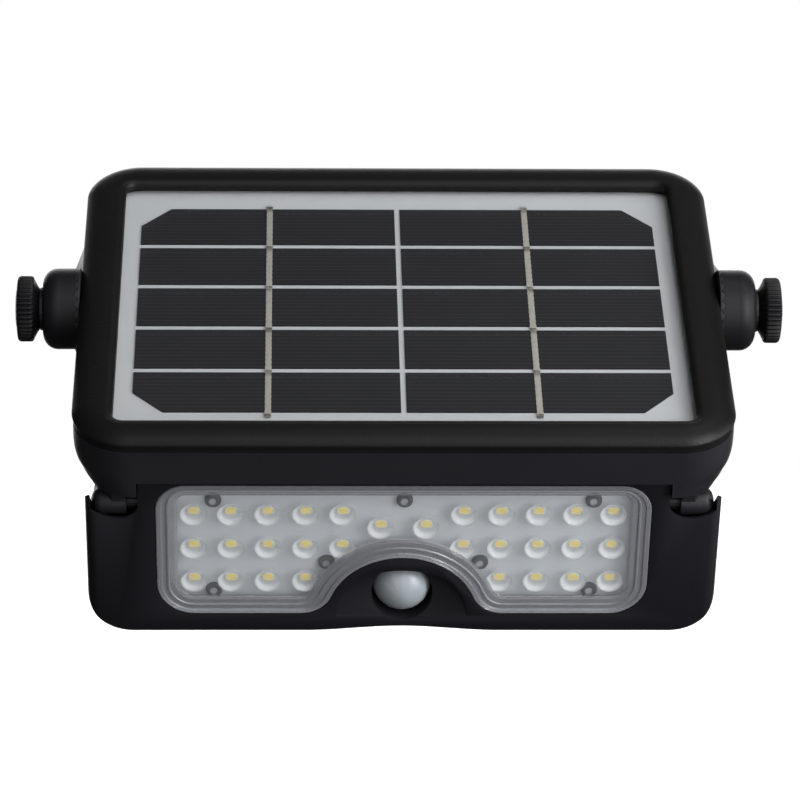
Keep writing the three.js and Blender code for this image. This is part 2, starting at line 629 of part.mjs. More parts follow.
// ================================================================ bracket
function addYokeArm(bracket, side) {
  const reach = (a, b) => span(side, a, b);
  const hubY = WALL_HUB_Y;
  // web close to the head, widening towards the wall, then a rib outside it that meets the hub
  const web = prism('x', outline([
    [hubY + 8, -9], [hubY + 16, -11.6], [-3.2, -20.2], [-0.5, -20.2],
    [-0.5, 20.2], [-3.2, 20.2], [hubY + 16, 11.6], [hubY + 8, 9],
  ]), ...reach(91.9, 94.0));
  const rib = box(...reach(YOKE.x0, YOKE.x1), hubY, -0.5, -YOKE.half, YOKE.half);
  const armWindow = prism('x', outline(
    [[hubY + 24, -4.5], [-14, -7.5], [-14, 7.5], [hubY + 24, 4.5]]), ...reach(91, 99));
  const hubCap = latheX([
    [0, HUB.x1 - 3.4], [HUB.r, HUB.x1 - 3.4], [HUB.r * 0.97, HUB.x1 - 1.7],
    [HUB.r * 0.86, HUB.x1 - 0.5], [HUB.r * 0.7, HUB.x1], [0, HUB.x1],
  ], 32, side, hubY, 0);

  const arm = join(bracket,
    web.subtract(cylinder('x', hubY, 0, 12.4, ...reach(91, HUB.x0), 32)), rib);
  return join(arm.subtract(armWindow),
    cylinder('x', hubY, 0, HUB.r, ...reach(HUB.x0 + 0.5, HUB.x1 - 3.3), 32),
    hubCap,
    ...teeth(hubY, 0, 0.5, HEAD_TILT, reach(93.05, 93.9)))
    .subtract(cylinder('x', hubY, 0, 2.75, ...reach(92, 104), 18));
}

// U yoke: wall plate stepped out to the two arms
function wallBracket() {
  const { thick, half } = PLATE;
  let bracket = join(
    prism('y', roundedRect(-86, 86, -half, half, 6, 5), -thick, 0),
    prism('y', roundedRect(-94, 94, -20.2, 20.2, 3, 3), -thick, 0),
    prism('y', roundedRect(-YOKE.x1, YOKE.x1, -YOKE.half, YOKE.half, 2, 3), -thick, 0));
  for (const side of SIDES) bracket = addYokeArm(bracket, side);
  // wall screw slots, two round holes and two ribs across the front of the plate
  bracket = cut(bracket,
    ...[-62, 62].map(x => prism('y', roundedRect(x - 8, x + 8, -2.6, 2.6, 2.55, 4), -6, 2)),
    ...[-30, 30].map(x => cylinder('y', x, 0, 2.6, -6, 2, 16)));
  return join(bracket,
    ...[-14, 14].map(z => box(-80, 80, -thick - 1.4, -thick + 0.2, z - 1.2, z + 1.2)));
}

const knobHead = side => latheX([
  [0, 103.1], [5.9, 103.1], [6.1, 103.4], [KNOB_R - 0.2, 105.0], [KNOB_R, 105.2],
  [KNOB_R, 109.0], [KNOB_R - 0.5, 109.4], [6.5, 109.85], [0, 110.1],
], 24, side, WALL_HUB_Y, 0)
  .subtract(cylinder('x', WALL_HUB_Y, 0, STUD_R + 0.1, ...span(side, 102, 107.6), 16));

// ================================================================ assembly
const floodLight = new THREE.Group();
const head = new THREE.Group();
const lamp = new THREE.Group();
const cosTilt = Math.cos(HEAD_TILT);
const sinTilt = Math.sin(HEAD_TILT);
head.rotation.x = HEAD_TILT;
// brings the head's hub axis onto the bracket's
head.position.set(0,
  WALL_HUB_Y - (HUB.y * cosTilt - HUB.z * sinTilt),
  -(HUB.y * sinTilt + HUB.z * cosTilt));
head.add(lamp);
floodLight.add(head);

const sideName = side => (side < 0 ? 'left' : 'right');
const glassOutline = insetRect(GLASS, 0, 5);

addPart(head, 'panel_bezel', panelBezel(), FINISH.bezel);
addPart(head, 'solar_glass', prism('z', glassOutline, -1.0, 0), FINISH.glass);
addPart(head, 'solar_backsheet', prism('z', glassOutline, -2.2, -1.6), FINISH.backsheet);
for (const row of range(CELL.rows)) {
  for (const side of SIDES) {
    const name = `solar_cell_${sideName(side)}_${row + 1}`;
    addPart(head, name, solarCell(row, side), FINISH.cell);
  }
}
for (const side of SIDES) {
  addPart(head, `cell_ribbon_${sideName(side)}`, cellRibbon(side), FINISH.ribbon);
}
addPart(head, 'panel_gasket', ring(GLASS, [
  [GLASS_GAP, -2.95], [GLASS_GAP, -2.32], [GLASS_GAP + 4, -2.32], [GLASS_GAP + 4, -2.95],
], 5), FINISH.panelGasket);
addPart(head, 'panel_shell', panelShell(), FINISH.body);
for (const side of SIDES) {
  const insert = tubeX(HUB.y, HUB.z, 3.3, 2.7, span(side, 85.2, 92.0));
  addPart(head, `thread_insert_${sideName(side)}`, insert, FINISH.brass);
}
addPart(head, 'terminal_board', terminalBoard(), FINISH.circuit);
addPart(head, 'panel_cable', cable(PANEL_CABLE, 36), FINISH.cable);

addPart(lamp, 'lamp_housing', lampHousing(), FINISH.body);
addPart(lamp, 'lens_cover', lensCover(), FINISH.lens);
addPart(lamp, 'lens_gasket',
  prism('y', lensOutline(-0.4), -61.95, -61.6, lensOutline(-2.6)), FINISH.lensGasket);
addPart(lamp, 'led_board', ledBoard(), FINISH.ledBoard);
BOARD_SCREWS.forEach((screw, i) => {
  addPart(lamp, `board_screw_${i + 1}`, boardScrew(screw), STEEL);
});
addPart(lamp, 'sensor_dome', sensorDome(), FINISH.dome);
addPart(lamp, 'sensor_can', sensorCan(), FINISH.can);
addPart(lamp, 'control_board', controlBoard(), FINISH.circuit);
addPart(lamp, 'battery_cell', batteryCell(), FINISH.battery);
addPart(lamp, 'battery_cradle', batteryCradle(), FINISH.cradle);
addPart(lamp, 'lamp_rear_cover', rearCover(), FINISH.body);
REAR_SCREWS.forEach((screw, i) => {
  addPart(lamp, `rear_screw_${i + 1}`, rearScrew(screw), FINISH.rearScrew);
});
addPart(lamp, 'mode_button', modeButton(), FINISH.button);
for (const side of SIDES) {
  const sleeve = tubeX(HINGE.y, HINGE.z, 2.35, 1.5, span(side, 70.95, 78.0));
  addPart(lamp, `hinge_sleeve_${sideName(side)}`, sleeve, STEEL);
}
addPart(lamp, 'lamp_cable', cable(LAMP_CABLE, 18), FINISH.cable);

addPart(floodLight, 'wall_bracket', wallBracket(), FINISH.body);
for (const side of SIDES) {
  const name = sideName(side);
  const stud = cylinder('x', WALL_HUB_Y, 0, STUD_R, ...span(side, 84.4, 107.4), 16);
  const washer = tubeX(WALL_HUB_Y, 0, 6.2, 2.6, span(side, 102.3, 103.0), 24);
  addPart(floodLight, `${name}_knob_head`, knobHead(side), FINISH.knob);
  addPart(floodLight, `${name}_knob_stud`, stud, STEEL);
  addPart(floodLight, `${name}_knob_washer`, washer, FINISH.washer);
}

export default floodLight;
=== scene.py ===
"""Wall lamp with a solar panel and a motion sensor.

The row frame is the product's own: X right, Y back to the wall at y = 0, Z up. Everything is
drawn in millimetres and scaled to metres when a piece is placed. The head (solar panel, shell
and the lamp under it) is drawn in its own frame: X right, Y back, Z normal to the solar face,
origin at the centre of the cells. It is tilted about X on the two hubs of the wall bracket.
"""
import math

import bpy
import bmesh
from mathutils import Matrix, Vector


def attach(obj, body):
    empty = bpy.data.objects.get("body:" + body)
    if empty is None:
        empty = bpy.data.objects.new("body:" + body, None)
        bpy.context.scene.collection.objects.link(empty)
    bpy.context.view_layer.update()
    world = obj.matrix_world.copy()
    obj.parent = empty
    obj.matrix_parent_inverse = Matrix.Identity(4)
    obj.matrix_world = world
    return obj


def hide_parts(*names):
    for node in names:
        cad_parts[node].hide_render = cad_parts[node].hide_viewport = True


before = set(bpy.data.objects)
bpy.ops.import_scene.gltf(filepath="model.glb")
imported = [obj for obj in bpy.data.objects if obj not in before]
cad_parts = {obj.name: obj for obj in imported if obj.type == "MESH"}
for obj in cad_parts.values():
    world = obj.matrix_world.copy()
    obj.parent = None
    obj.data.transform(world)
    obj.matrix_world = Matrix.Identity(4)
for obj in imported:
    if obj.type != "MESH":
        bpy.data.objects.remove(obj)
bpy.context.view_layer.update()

# ------------------------------------------------------------------ shared dimensions, mm
SIDES = ((-1, "left"), (1, "right"))

TILT = math.radians(36)
HUB_Y, HUB_Z = 9.6, -7.0            # tilt axis in the head frame
HUB_R = 11.6
STANDOFF = 70.0                     # wall to tilt axis
HEAD_Y = -STANDOFF - (HUB_Y * math.cos(TILT) - HUB_Z * math.sin(TILT))
HEAD_Z = -(HUB_Y * math.sin(TILT) + HUB_Z * math.cos(TILT))
HINGE_Y, HINGE_Z = -58.3, -24.0     # lamp hinge axis in the head frame

CELL_PITCH = 20.6                   # rows of solar cells, along y
CELLS_TOP = 53.05                   # back edge of the last row
RIBBON_TOP = CELLS_TOP + 1.0        # middle of the gap behind that row

# (x, z) of the screws in the LED board
BOARD_SCREWS = [(-52.6, -22.6), (0.3, -22.6), (52.6, -22.6), (-52.6, -54.1), (52.6, -54.1),
                (-21.2, -44.4), (21.7, -44.4)]

ROW = Matrix.Scale(0.001, 4)
HEAD = ROW @ Matrix.Translation((0, HEAD_Y, HEAD_Z)) @ Matrix.Rotation(TILT, 4, "X")


# ------------------------------------------------------------------ outlines
def arc(cx, cy, radius, start, end, steps):
    """Points round a centre, angles in degrees."""
    angles = [math.radians(start + (end - start) * i / steps) for i in range(steps + 1)]
    return [(cx + radius * math.cos(a), cy + radius * math.sin(a)) for a in angles]


def rounded_rect(x0, x1, y0, y1, r, steps):
    return (arc(x1 - r, y0 + r, r, -90, 0, steps) + arc(x1 - r, y1 - r, r, 0, 90, steps)
            + arc(x0 + r, y1 - r, r, 90, 180, steps) + arc(x0 + r, y0 + r, r, 180, 270, steps))


def lift(axis, outline, t):
    """A flat outline as 3-D points at t along an axis."""
    if axis == "z":
        return [(u, v, t) for u, v in outline]
    if axis == "y":
        return [(u, t, v) for u, v in outline]
    return [(t, u, v) for u, v in outline]


def span(side, a, b):
    """The x range a to b on the right, or its mirror image on the left."""
    return (a, b) if side > 0 else (-b, -a)


def on_side(outline, side):
    """An outline drawn on the right, as it lies on the given side."""
    points = [(side * x, z) for x, z in outline]
    return points if side < 0 else points[::-1]


# ------------------------------------------------------------------ meshes
def make_mesh(verts, faces):
    mesh = bpy.data.meshes.new("m")
    mesh.from_pydata(verts, [], faces)
    bm = bmesh.new()
    bm.from_mesh(mesh)
    bmesh.ops.remove_doubles(bm, verts=bm.verts, dist=1e-5)
    bmesh.ops.dissolve_degenerate(bm, dist=1e-6, edges=bm.edges)
    bmesh.ops.recalc_face_normals(bm, faces=bm.faces)
    bm.to_mesh(mesh)
    bm.free()
    return mesh


def turn_outward(mesh):
    bm = bmesh.new()
    bm.from_mesh(mesh)
    if bm.calc_volume(signed=True) < 0:
        bmesh.ops.reverse_faces(bm, faces=bm.faces)
        bm.to_mesh(mesh)
    bm.free()
    return mesh


def prism(axis, outline, a, b):
    n = len(outline)
    faces = [(i, (i + 1) % n, n + (i + 1) % n, n + i) for i in range(n)]
    faces += [tuple(range(n))[::-1], tuple(range(n, 2 * n))]
    return turn_outward(make_mesh(lift(axis, outline, a) + lift(axis, outline, b), faces))


def loft(loops, closed=False):
    """Skin over 3-D loops of equal length, capped unless the last joins the first."""
    n, count = len(loops[0]), len(loops)
    faces = []
    for s in range(count if closed else count - 1):
        here, there = s * n, (s + 1) % count * n
        for i in range(n):
            j = (i + 1) % n
            faces.append((here + i, here + j, there + j, there + i))
    if not closed:
        faces += [tuple(range(n))[::-1], tuple(range((count - 1) * n, count * n))]
    return make_mesh([p for loop in loops for p in loop], faces)


def lathe(profile, segments, axis, at=(0, 0, 0), ripple=None):
    """Profile (r, h) turned about x or y; r of 0 closes an end.

    ripple(angle, r, h) gives a new (r, h).
    """
    verts, faces, rows = [], [], []

    def add(u, v, h):
        point = (h, u, v) if axis == "x" else (v, h, u)
        verts.append(tuple(p + q for p, q in zip(point, at)))
        return len(verts) - 1

    for r, h in profile:
        if r < 1e-9:
            rows.append([add(0.0, 0.0, h)])
            continue
        row = []
        for i in range(segments):
            angle = 2 * math.pi * i / segments
            radius, height = ripple(angle, r, h) if ripple else (r, h)
            row.append(add(radius * math.cos(angle), radius * math.sin(angle), height))
        rows.append(row)
    for a, b in zip(rows, rows[1:]):
        for i in range(segments):
            j = (i + 1) % segments
            if len(a) == 1:
                faces.append((a[0], b[j], b[i]))
            elif len(b) == 1:
                faces.append((a[i], a[j], b[0]))
            else:
                faces.append((a[i], a[j], b[j], b[i]))
    return make_mesh(verts, faces)


def cyl(axis, u, v, r, a, b, n=48):
    angles = [2 * math.pi * i / n for i in range(n)]
    return prism(axis, [(u + r * math.cos(t), v + r * math.sin(t)) for t in angles], a, b)


def box(x0, x1, y0, y1, z0, z1):
    return prism("z", [(x0, y0), (x1, y0), (x1, y1), (x0, y1)], z0, z1)


def merged(meshes):
    """Several meshes as one, without a boolean."""
    bm = bmesh.new()
    for mesh in meshes:
        bm.from_mesh(mesh)
    out = bpy.data.meshes.new("m")
    bm.to_mesh(out)
    bm.free()
    return out


def add_object(name, mesh):
    obj = bpy.data.objects.new(name, mesh)
    bpy.context.scene.collection.objects.link(obj)
    return obj


def bake(obj):
    bpy.context.view_layer.update()
    graph = bpy.context.evaluated_depsgraph_get()
    return bpy.data.meshes.new_from_object(obj.evaluated_get(graph), depsgraph=graph)


def boolean(mesh, others, operation):
    base = add_object("tmp", mesh)
    tools = []
    for i, other in enumerate(others):
        tool = add_object("tmp", other)
        tools.append(tool)
        mod = base.modifiers.new("b%d" % i, "BOOLEAN")
        mod.object, mod.operation, mod.solver = tool, operation, "MANIFOLD"
    out = bake(base)
    for obj in tools + [base]:
        bpy.data.objects.remove(obj)
    return out


def cut(mesh, *others):
    return boolean(mesh, others, "DIFFERENCE")


def join(mesh, *others):
    return boolean(mesh, others, "UNION")


def common(mesh, *others):
    return boolean(mesh, others, "INTERSECT")


def soften(mesh, width, segments=2, angle=38):
    """Rounds the sharp edges."""
    bm = bmesh.new()
    bm.from_mesh(mesh)
    bmesh.ops.remove_doubles(bm, verts=bm.verts, dist=0.004)
    bmesh.ops.dissolve_limit(bm, angle_limit=math.radians(1.0), verts=bm.verts, edges=bm.edges)
    bm.to_mesh(mesh)
    bm.free()
    obj = add_object("tmp", mesh)
    mod = obj.modifiers.new("bevel", "BEVEL")
    mod.width, mod.segments = width, segments
    mod.limit_method, mod.angle_limit = "ANGLE", math.radians(angle)
    mod.use_clamp_overlap, mod.loop_slide, mod.miter_outer = True, False, "MITER_ARC"
    out = bake(obj)
    bpy.data.objects.remove(obj)
    return out


def finish_mesh(mesh, material, smooth):
    mesh.materials.clear()
    mesh.materials.append(material)
    mesh.shade_smooth()
    mesh.set_sharp_from_angle(angle=math.radians(smooth))


def piece(name, mesh, material, body, replaces=(), to=HEAD, smooth=35):
    mesh.transform(to)
    mesh.name = name
    finish_mesh(mesh, material, smooth)
    obj = add_object(name, mesh)
    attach(obj, body)
    if replaces:
        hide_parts(*replaces)


# ------------------------------------------------------------------ node graphs
class Graph:
    """An emptied node tree, with short ways to add and join nodes."""

    def __init__(self, owner):
        owner.use_nodes = True
        self.tree = owner.node_tree
        self.tree.nodes.clear()

    def node(self, kind, **settings):
        node = self.tree.nodes.new("ShaderNode" + kind)
        for key, value in settings.items():
            setattr(node, key, value)
        return node

    def link(self, source, target):
        self.tree.links.new(source, target)

    def feed(self, socket, value):
        """Links a socket, or sets a number or an RGB colour."""
        if isinstance(value, bpy.types.NodeSocket):
            self.link(value, socket)
        elif isinstance(value, (list, tuple)):
            socket.default_value = (*value, 1)
        else:
            socket.default_value = value


class Material(Graph):
    def __init__(self, name):
        self.material = bpy.data.materials.new(name)
        super().__init__(self.material)
        self.out = self.node("OutputMaterial")
        mapping = self.node("Mapping")
        mapping.inputs["Scale"].default_value = (1000, 1000, 1000)
        self.link(self.node("TexCoord").outputs["Object"], mapping.inputs["Vector"])
        self.position = mapping.outputs["Vector"]      # row frame, millimetres

    def head_position(self):
        """Position in the head frame, millimetres."""
        mapping = self.node("Mapping", vector_type="TEXTURE")
        mapping.inputs["Location"].default_value = (0, HEAD_Y, HEAD_Z)
        mapping.inputs["Rotation"].default_value = (TILT, 0, 0)
        self.link(self.position, mapping.inputs["Vector"])
        return mapping.outputs["Vector"]

    def split(self, vector):
        node = self.node("SeparateXYZ")
        self.link(vector, node.inputs[0])
        return node.outputs

    def noise(self, scale, detail=3, rough=0.6, vector=None):
        node = self.node("TexNoise")
        node.inputs["Scale"].default_value = scale
        node.inputs["Detail"].default_value = detail
        node.inputs["Roughness"].default_value = rough
        self.link(vector or self.position, node.inputs["Vector"])
        return node.outputs["Fac"]

    def voronoi(self, scale, feature):
        node = self.node("TexVoronoi", feature=feature)
        node.inputs["Scale"].default_value = scale
        self.link(self.position, node.inputs["Vector"])
        return node.outputs["Distance"]

    def ramp(self, value, stops):
        """Grey ramp through (position, brightness) stops."""
        node = self.node("ValToRGB")
        elements = node.color_ramp.elements
        while len(elements) > 1:
            elements.remove(elements[-1])
        for i, (position, grey) in enumerate(stops):
            element = elements[0] if i == 0 else elements.new(position)
            element.position = position
            element.color = (grey, grey, grey, 1)
        self.link(value, node.inputs["Fac"])
        return node.outputs["Color"]

    def math(self, operation, *values):
        node = self.node("Math", operation=operation)
        for socket, value in zip(node.inputs, values):
            self.feed(socket, value)
        return node.outputs[0]

    def times(self, a, b):
        return self.math("MULTIPLY", a, b)

    def vary(self, base, by, gain):
        """base + by * gain"""
        return self.math("ADD", base, self.times(by, gain))

    def scaled(self, value, gain, offset):
        """value * gain + offset"""
        return self.math("ADD", self.times(value, gain), offset)

    def mix(self, factor, a, b):
        node = self.node("Mix", data_type="RGBA", blend_type="MIX")
        for i, value in ((0, factor), (6, a), (7, b)):
            self.feed(node.inputs[i], value)
        return node.outputs[2]

    def bump(self, height, strength, dist):
        """dist is in metres."""
        node = self.node("Bump")
        node.inputs["Strength"].default_value = strength
        node.inputs["Distance"].default_value = dist
        self.link(height, node.inputs["Height"])
        return node.outputs["Normal"]

    def edge(self):
        """0 on flats, towards 1 along edges."""
        bevel = self.node("Bevel", samples=4)
        bevel.inputs["Radius"].default_value = 0.0006
        dot = self.node("VectorMath", operation="DOT_PRODUCT")
        self.link(bevel.outputs["Normal"], dot.inputs[0])
        self.link(self.node("NewGeometry").outputs["Normal"], dot.inputs[1])
        return self.ramp(dot.outputs["Value"], [(0.80, 1.0), (0.985, 0.0)])

    def row_phase(self, y, start):
        """0 to 1 across each row of cells, counted forwards from start."""
        # the thousand extra rows keep the distance positive
        distance = self.math("SUBTRACT", start + 1000 * CELL_PITCH, y)
        return self.math("FRACT", self.math("DIVIDE", distance, CELL_PITCH))

    def glossy(self, rough, normal):
        node = self.node("BsdfGlossy")
        self.link(rough, node.inputs["Roughness"])
        self.link(normal, node.inputs["Normal"])
        return node

    def transparent(self, tint):
        node = self.node("BsdfTransparent")
        self.feed(node.inputs[0], tint)
        return node

    def diffuse(self, colour):
        node = self.node("BsdfDiffuse")
        self.feed(node.inputs["Color"], colour)
        return node

    def blend(self, factor, first, second):
        node = self.node("MixShader")
        self.feed(node.inputs[0], factor)
        self.link(first.outputs[0], node.inputs[1])
        self.link(second.outputs[0], node.inputs[2])
        return node

    def done(self, shader):
        self.link(shader.outputs[0], self.out.inputs["Surface"])
        return self.material

    def principled(self, colour, rough, normal=None, metal=0.0, spec=0.5, **more):
        """Ends the material in a principled surface."""
        node = self.node("BsdfPrincipled")
        values = {"Base Color": colour, "Roughness": rough, "Metallic": metal,
                  "Specular IOR Level": spec}
        values.update((key.replace("_", " "), value) for key, value in more.items())
        if normal is not None:
            values["Normal"] = normal
        for key, value in values.items():
            self.feed(node.inputs[key], value)
        return self.done(node)


# ------------------------------------------------------------------ materials
def shade(colour, gain):
    return [c * gain for c in colour]


def plastic(name, colour, rough, grain=1.6, bump=0.25, edge_wear_and_highlight=1.5, spec=0.5, edge=True):
    """Grained plastic with edges paler by the given factor: rubbed wear when small, a painted
    highlight along the edges when large.
    """
    mat = Material(name)
    cells = mat.voronoi(scale=grain, feature="F1")
    fine = mat.noise(scale=grain * 2.6)
    broad = mat.noise(scale=0.035)
    base = mat.mix(broad, shade(colour, 0.88), shade(colour, 1.14))
    if edge:
        patchy = mat.scaled(mat.noise(scale=0.5, detail=4, rough=0.7), gain=0.9, offset=0.1)
        # paler edges: rubbed wear, and at large factors a painted highlight
        base = mat.mix(mat.times(mat.edge(), patchy), base, shade(colour, edge_wear_and_highlight))
    speck = mat.ramp(mat.noise(scale=grain * 1.9, detail=1, rough=0.4), [(0.66, 0.0), (0.74, 1.0)])
    base = mat.mix(mat.times(speck, 0.5), base, shade(colour, 1.5))
    roughness = mat.scaled(fine, gain=0.22, offset=rough - 0.11)
    roughness = mat.vary(base=roughness, by=broad, gain=0.06)
    height = mat.vary(base=mat.times(cells, 0.7), by=fine, gain=0.6)
    return mat.principled(base, roughness, mat.bump(height, strength=bump, dist=0.00012), spec=spec)


def metal(name, colour, rough, metallic=1.0):
    mat = Material(name)
    cloud = mat.noise(scale=2.0, detail=4, rough=0.65)
    base = mat.mix(cloud, shade(colour, 0.75), shade(colour, 1.15))
    roughness = mat.scaled(mat.noise(scale=6.0, rough=0.5), gain=0.25, offset=rough - 0.1)
    normal = mat.bump(cloud, strength=0.12, dist=0.00005)
    return mat.principled(base, roughness, normal, metal=metallic)


def board_screw_material():
    """Dark screw head with a paler recess, centred on each board screw."""
    mat = Material("board_screw_head")
    axes = mat.split(mat.head_position())
    nearest = None
    for x, z in BOARD_SCREWS:
        dx = mat.math("SUBTRACT", axes["X"], x)
        dz = mat.math("SUBTRACT", axes["Z"], z)
        radius = mat.math("SQRT", mat.math("ADD", mat.times(dx, dx), mat.times(dz, dz)))
        nearest = mat.math("MINIMUM", nearest, radius) if nearest else radius
    cloud = mat.noise(scale=2.0)
    head_radius = 3.0
    recess = mat.ramp(mat.math("DIVIDE", nearest, head_radius), [(0.25, 1.0), (0.42, 0.0)])
    colour = mat.mix(recess, (0.06, 0.063, 0.068), (0.42, 0.43, 0.44))
    colour = mat.mix(mat.times(cloud, 0.3), colour, (0.12, 0.12, 0.13))
    return mat.principled(colour, mat.vary(base=0.4, by=cloud, gain=0.2),
                          mat.bump(cloud, strength=0.1, dist=0.00005), spec=0.2)


def cell_material():
    """Dark silicon with fine silver fingers along every row."""
    finger_pitch = 1.69
    mat = Material("cell_silicon")
    head = mat.head_position()
    in_row = mat.times(mat.row_phase(mat.split(head)["Y"], CELLS_TOP), CELL_PITCH)
    phase = mat.math("FRACT", mat.math("DIVIDE", in_row, finger_pitch))
    off_centre = mat.math("ABSOLUTE", mat.math("SUBTRACT", phase, 0.5))
    finger = mat.ramp(off_centre, [(0.03, 1.0), (0.11, 0.0)])
    uneven = mat.noise(scale=0.9, vector=head)
    wafer = mat.noise(scale=0.06, detail=2, rough=0.5, vector=head)
    grain = mat.noise(scale=7.0, detail=2, vector=head)
    colour = mat.mix(wafer, (0.0085, 0.0085, 0.0100), (0.0130, 0.0130, 0.0148))
    colour = mat.mix(mat.times(grain, 0.35), colour, (0.03, 0.03, 0.032))
    silver = mat.times(finger, mat.scaled(uneven, gain=0.5, offset=0.25))
    colour = mat.mix(silver, colour, (0.055, 0.055, 0.058))
    height = mat.vary(base=mat.times(finger, 0.8), by=grain, gain=0.2)
    return mat.principled(colour, mat.vary(base=0.36, by=grain, gain=0.12),
                          mat.bump(height, strength=0.15, dist=0.00003), spec=0.12)


def mottled(name, dark, light, fleck, fleck_gain, broad, fine, rough, rough_gain, bump, dist,
            **more):
    """Broad clouds from dark to light with fine flecks; broad and fine are noise scales."""
    mat = Material(name)
    clouds = mat.noise(scale=broad)
    flecks = mat.noise(scale=fine)
    colour = mat.mix(mat.times(flecks, fleck_gain), mat.mix(clouds, dark, light), fleck)
    return mat.principled(colour, mat.vary(base=rough, by=flecks, gain=rough_gain),
                          mat.bump(flecks, strength=bump, dist=dist), **more)


def clouded(name, dark, light, scale, rough, bump, dist, detail=3, rough_gain=None, **more):
    """One noise for colour and bump, and for roughness where rough_gain is given."""
    mat = Material(name)
    cloud = mat.noise(scale=scale, detail=detail)
    if rough_gain is not None:
        rough = mat.vary(base=rough, by=cloud, gain=rough_gain)
    return mat.principled(mat.mix(cloud, dark, light), rough,
                          mat.bump(cloud, strength=bump, dist=dist), **more)


def circuit_material():
    mat = Material("circuit_green")
    border = mat.voronoi(scale=0.22, feature="DISTANCE_TO_EDGE")
    track = mat.ramp(border, [(0.02, 1.0), (0.05, 0.0)])
    colour = mat.mix(track, (0.012, 0.10, 0.035), (0.03, 0.19, 0.07))
    return mat.principled(colour, 0.35, mat.bump(track, strength=0.1, dist=0.00003))


def ribbon_material():
    """Tinned ribbon with dark marks where it crosses between rows of cells."""
    mat = Material("tinned_ribbon")
    head = mat.head_position()
    y = mat.split(head)["Y"]
    cloud = mat.noise(scale=0.55, detail=4, rough=0.7, vector=head)
    fine = mat.noise(scale=3.5, vector=head)
    from_gap = mat.math("ABSOLUTE", mat.math("SUBTRACT", mat.row_phase(y, RIBBON_TOP), 0.0))
    gap = mat.ramp(from_gap, [(0.0, 1.0), (0.10, 0.65), (0.16, 0.0)])
    dark = mat.times(gap, mat.ramp(cloud, [(0.35, 0.2), (0.6, 1.0)]))
    colour = mat.mix(cloud, (0.38, 0.36, 0.31), (0.62, 0.60, 0.55))
    colour = mat.mix(dark, colour, (0.05, 0.04, 0.032))
    height = mat.vary(base=cloud, by=fine, gain=0.4)
    return mat.principled(colour, mat.vary(base=0.3, by=fine, gain=0.3),
                          mat.bump(height, strength=0.5, dist=0.0002), metal=0.55)


def glass(name, tint, gloss, rough, haze=0.0, haze_colour=None):
    """Thin clear sheet; gloss scales the reflection, haze is the milky share."""
    mat = Material(name)
    cloud = mat.noise(scale=0.4)
    shine = mat.glossy(mat.vary(base=rough, by=cloud, gain=0.06),
                       mat.bump(cloud, strength=0.05, dist=0.0001))
    mat.feed(shine.inputs["Color"], (1, 1, 1))
    fresnel = mat.node("Fresnel")
    fresnel.inputs["IOR"].default_value = 1.48
    body = mat.transparent(tint)
    if haze > 0:
        share = mat.vary(base=haze * 0.8, by=mat.noise(scale=0.25), gain=haze * 0.4)
        body = mat.blend(share, body, mat.diffuse(haze_colour))
    return mat.done(mat.blend(mat.times(fresnel.outputs[0], gloss), body, shine))


def dome_material():
    """Clear dome, whitened by a painted highlight that the mesh carries as its own attribute."""
    mat = Material("lens_dome")
    painted_highlight = mat.node("Attribute", attribute_name="painted_highlight").outputs["Fac"]
    cloud = mat.noise(scale=1.8)
    white = mat.diffuse(mat.mix(cloud, (0.93, 0.94, 0.95), (0.99, 0.99, 0.99)))
    # the painted highlight whitens the clear dome
    body = mat.blend(mat.times(painted_highlight, 0.8), mat.transparent((0.97, 0.975, 0.98)), white)
    shine = mat.glossy(mat.vary(base=0.12, by=cloud, gain=0.06),
                       mat.bump(cloud, strength=0.05, dist=0.00005))
    return mat.done(mat.blend(0.05, body, shine))


MAT_HOUSING = plastic("housing_black", (0.0060, 0.0058, 0.0078), rough=0.46, spec=0.18)
MAT_SHELL = plastic("shell_black", (0.0075, 0.0072, 0.0095), rough=0.48, spec=0.28)
# the bezel's edge factor of 8 paints a highlight along all its edges
MAT_BEZEL = plastic("bezel_black", (0.0038, 0.0037, 0.0036), rough=0.40, grain=1.25, bump=0.35,
                    edge_wear_and_highlight=8.0, spec=0.16)
MAT_BRACKET = plastic("bracket_black", (0.0058, 0.0058, 0.0074), rough=0.46, spec=0.18)
MAT_KNOB = plastic("knob_black", (0.0036, 0.0036, 0.0046), rough=0.45, grain=2.2, bump=0.2,
                   spec=0.18)
MAT_BUTTON = plastic("button_rubber", (0.03, 0.03, 0.034), rough=0.62, grain=2.5, bump=0.15)
MAT_GREY = plastic("inner_plastic", (0.035, 0.035, 0.04), rough=0.55, bump=0.15, edge=False)
MAT_RUBBER = plastic("seal_rubber", (0.02, 0.02, 0.021), rough=0.7, grain=2.0, bump=0.3,
                     edge=False)
MAT_CABLE = plastic("cable_jacket", (0.012, 0.012, 0.013), rough=0.4, grain=3.0, bump=0.1,
                    edge=False)
MAT_BLACKENED = metal("blackened_steel", (0.012, 0.012, 0.014), rough=0.45, metallic=0.6)
MAT_DARK_SCREW = metal("dark_screw", (0.16, 0.16, 0.17), rough=0.38)
MAT_BRASS = metal("turned_brass", (0.62, 0.44, 0.17), rough=0.3)
MAT_CAN = metal("sensor_can_metal", (0.62, 0.62, 0.63), rough=0.25)
MAT_BOARD_SCREW = board_screw_material()
MAT_CELL = cell_material()
MAT_SHEET = mottled(
    "backsheet", dark=(0.43, 0.445, 0.46), light=(0.465, 0.475, 0.485),
    fleck=(0.52, 0.53, 0.535), fleck_gain=0.25, broad=0.08, fine=1.7,
    rough=0.45, rough_gain=0.15, bump=0.08, dist=0.00005, spec=0.3)
MAT_BOARD = mottled(
    "led_board_white", dark=(0.535, 0.56, 0.585), light=(0.595, 0.615, 0.635),
    fleck=(0.72, 0.735, 0.75), fleck_gain=0.2, broad=0.12, fine=2.6,
    rough=0.35, rough_gain=0.2, bump=0.06, dist=0.00004, spec=0.35)
MAT_CIRCUIT = circuit_material()
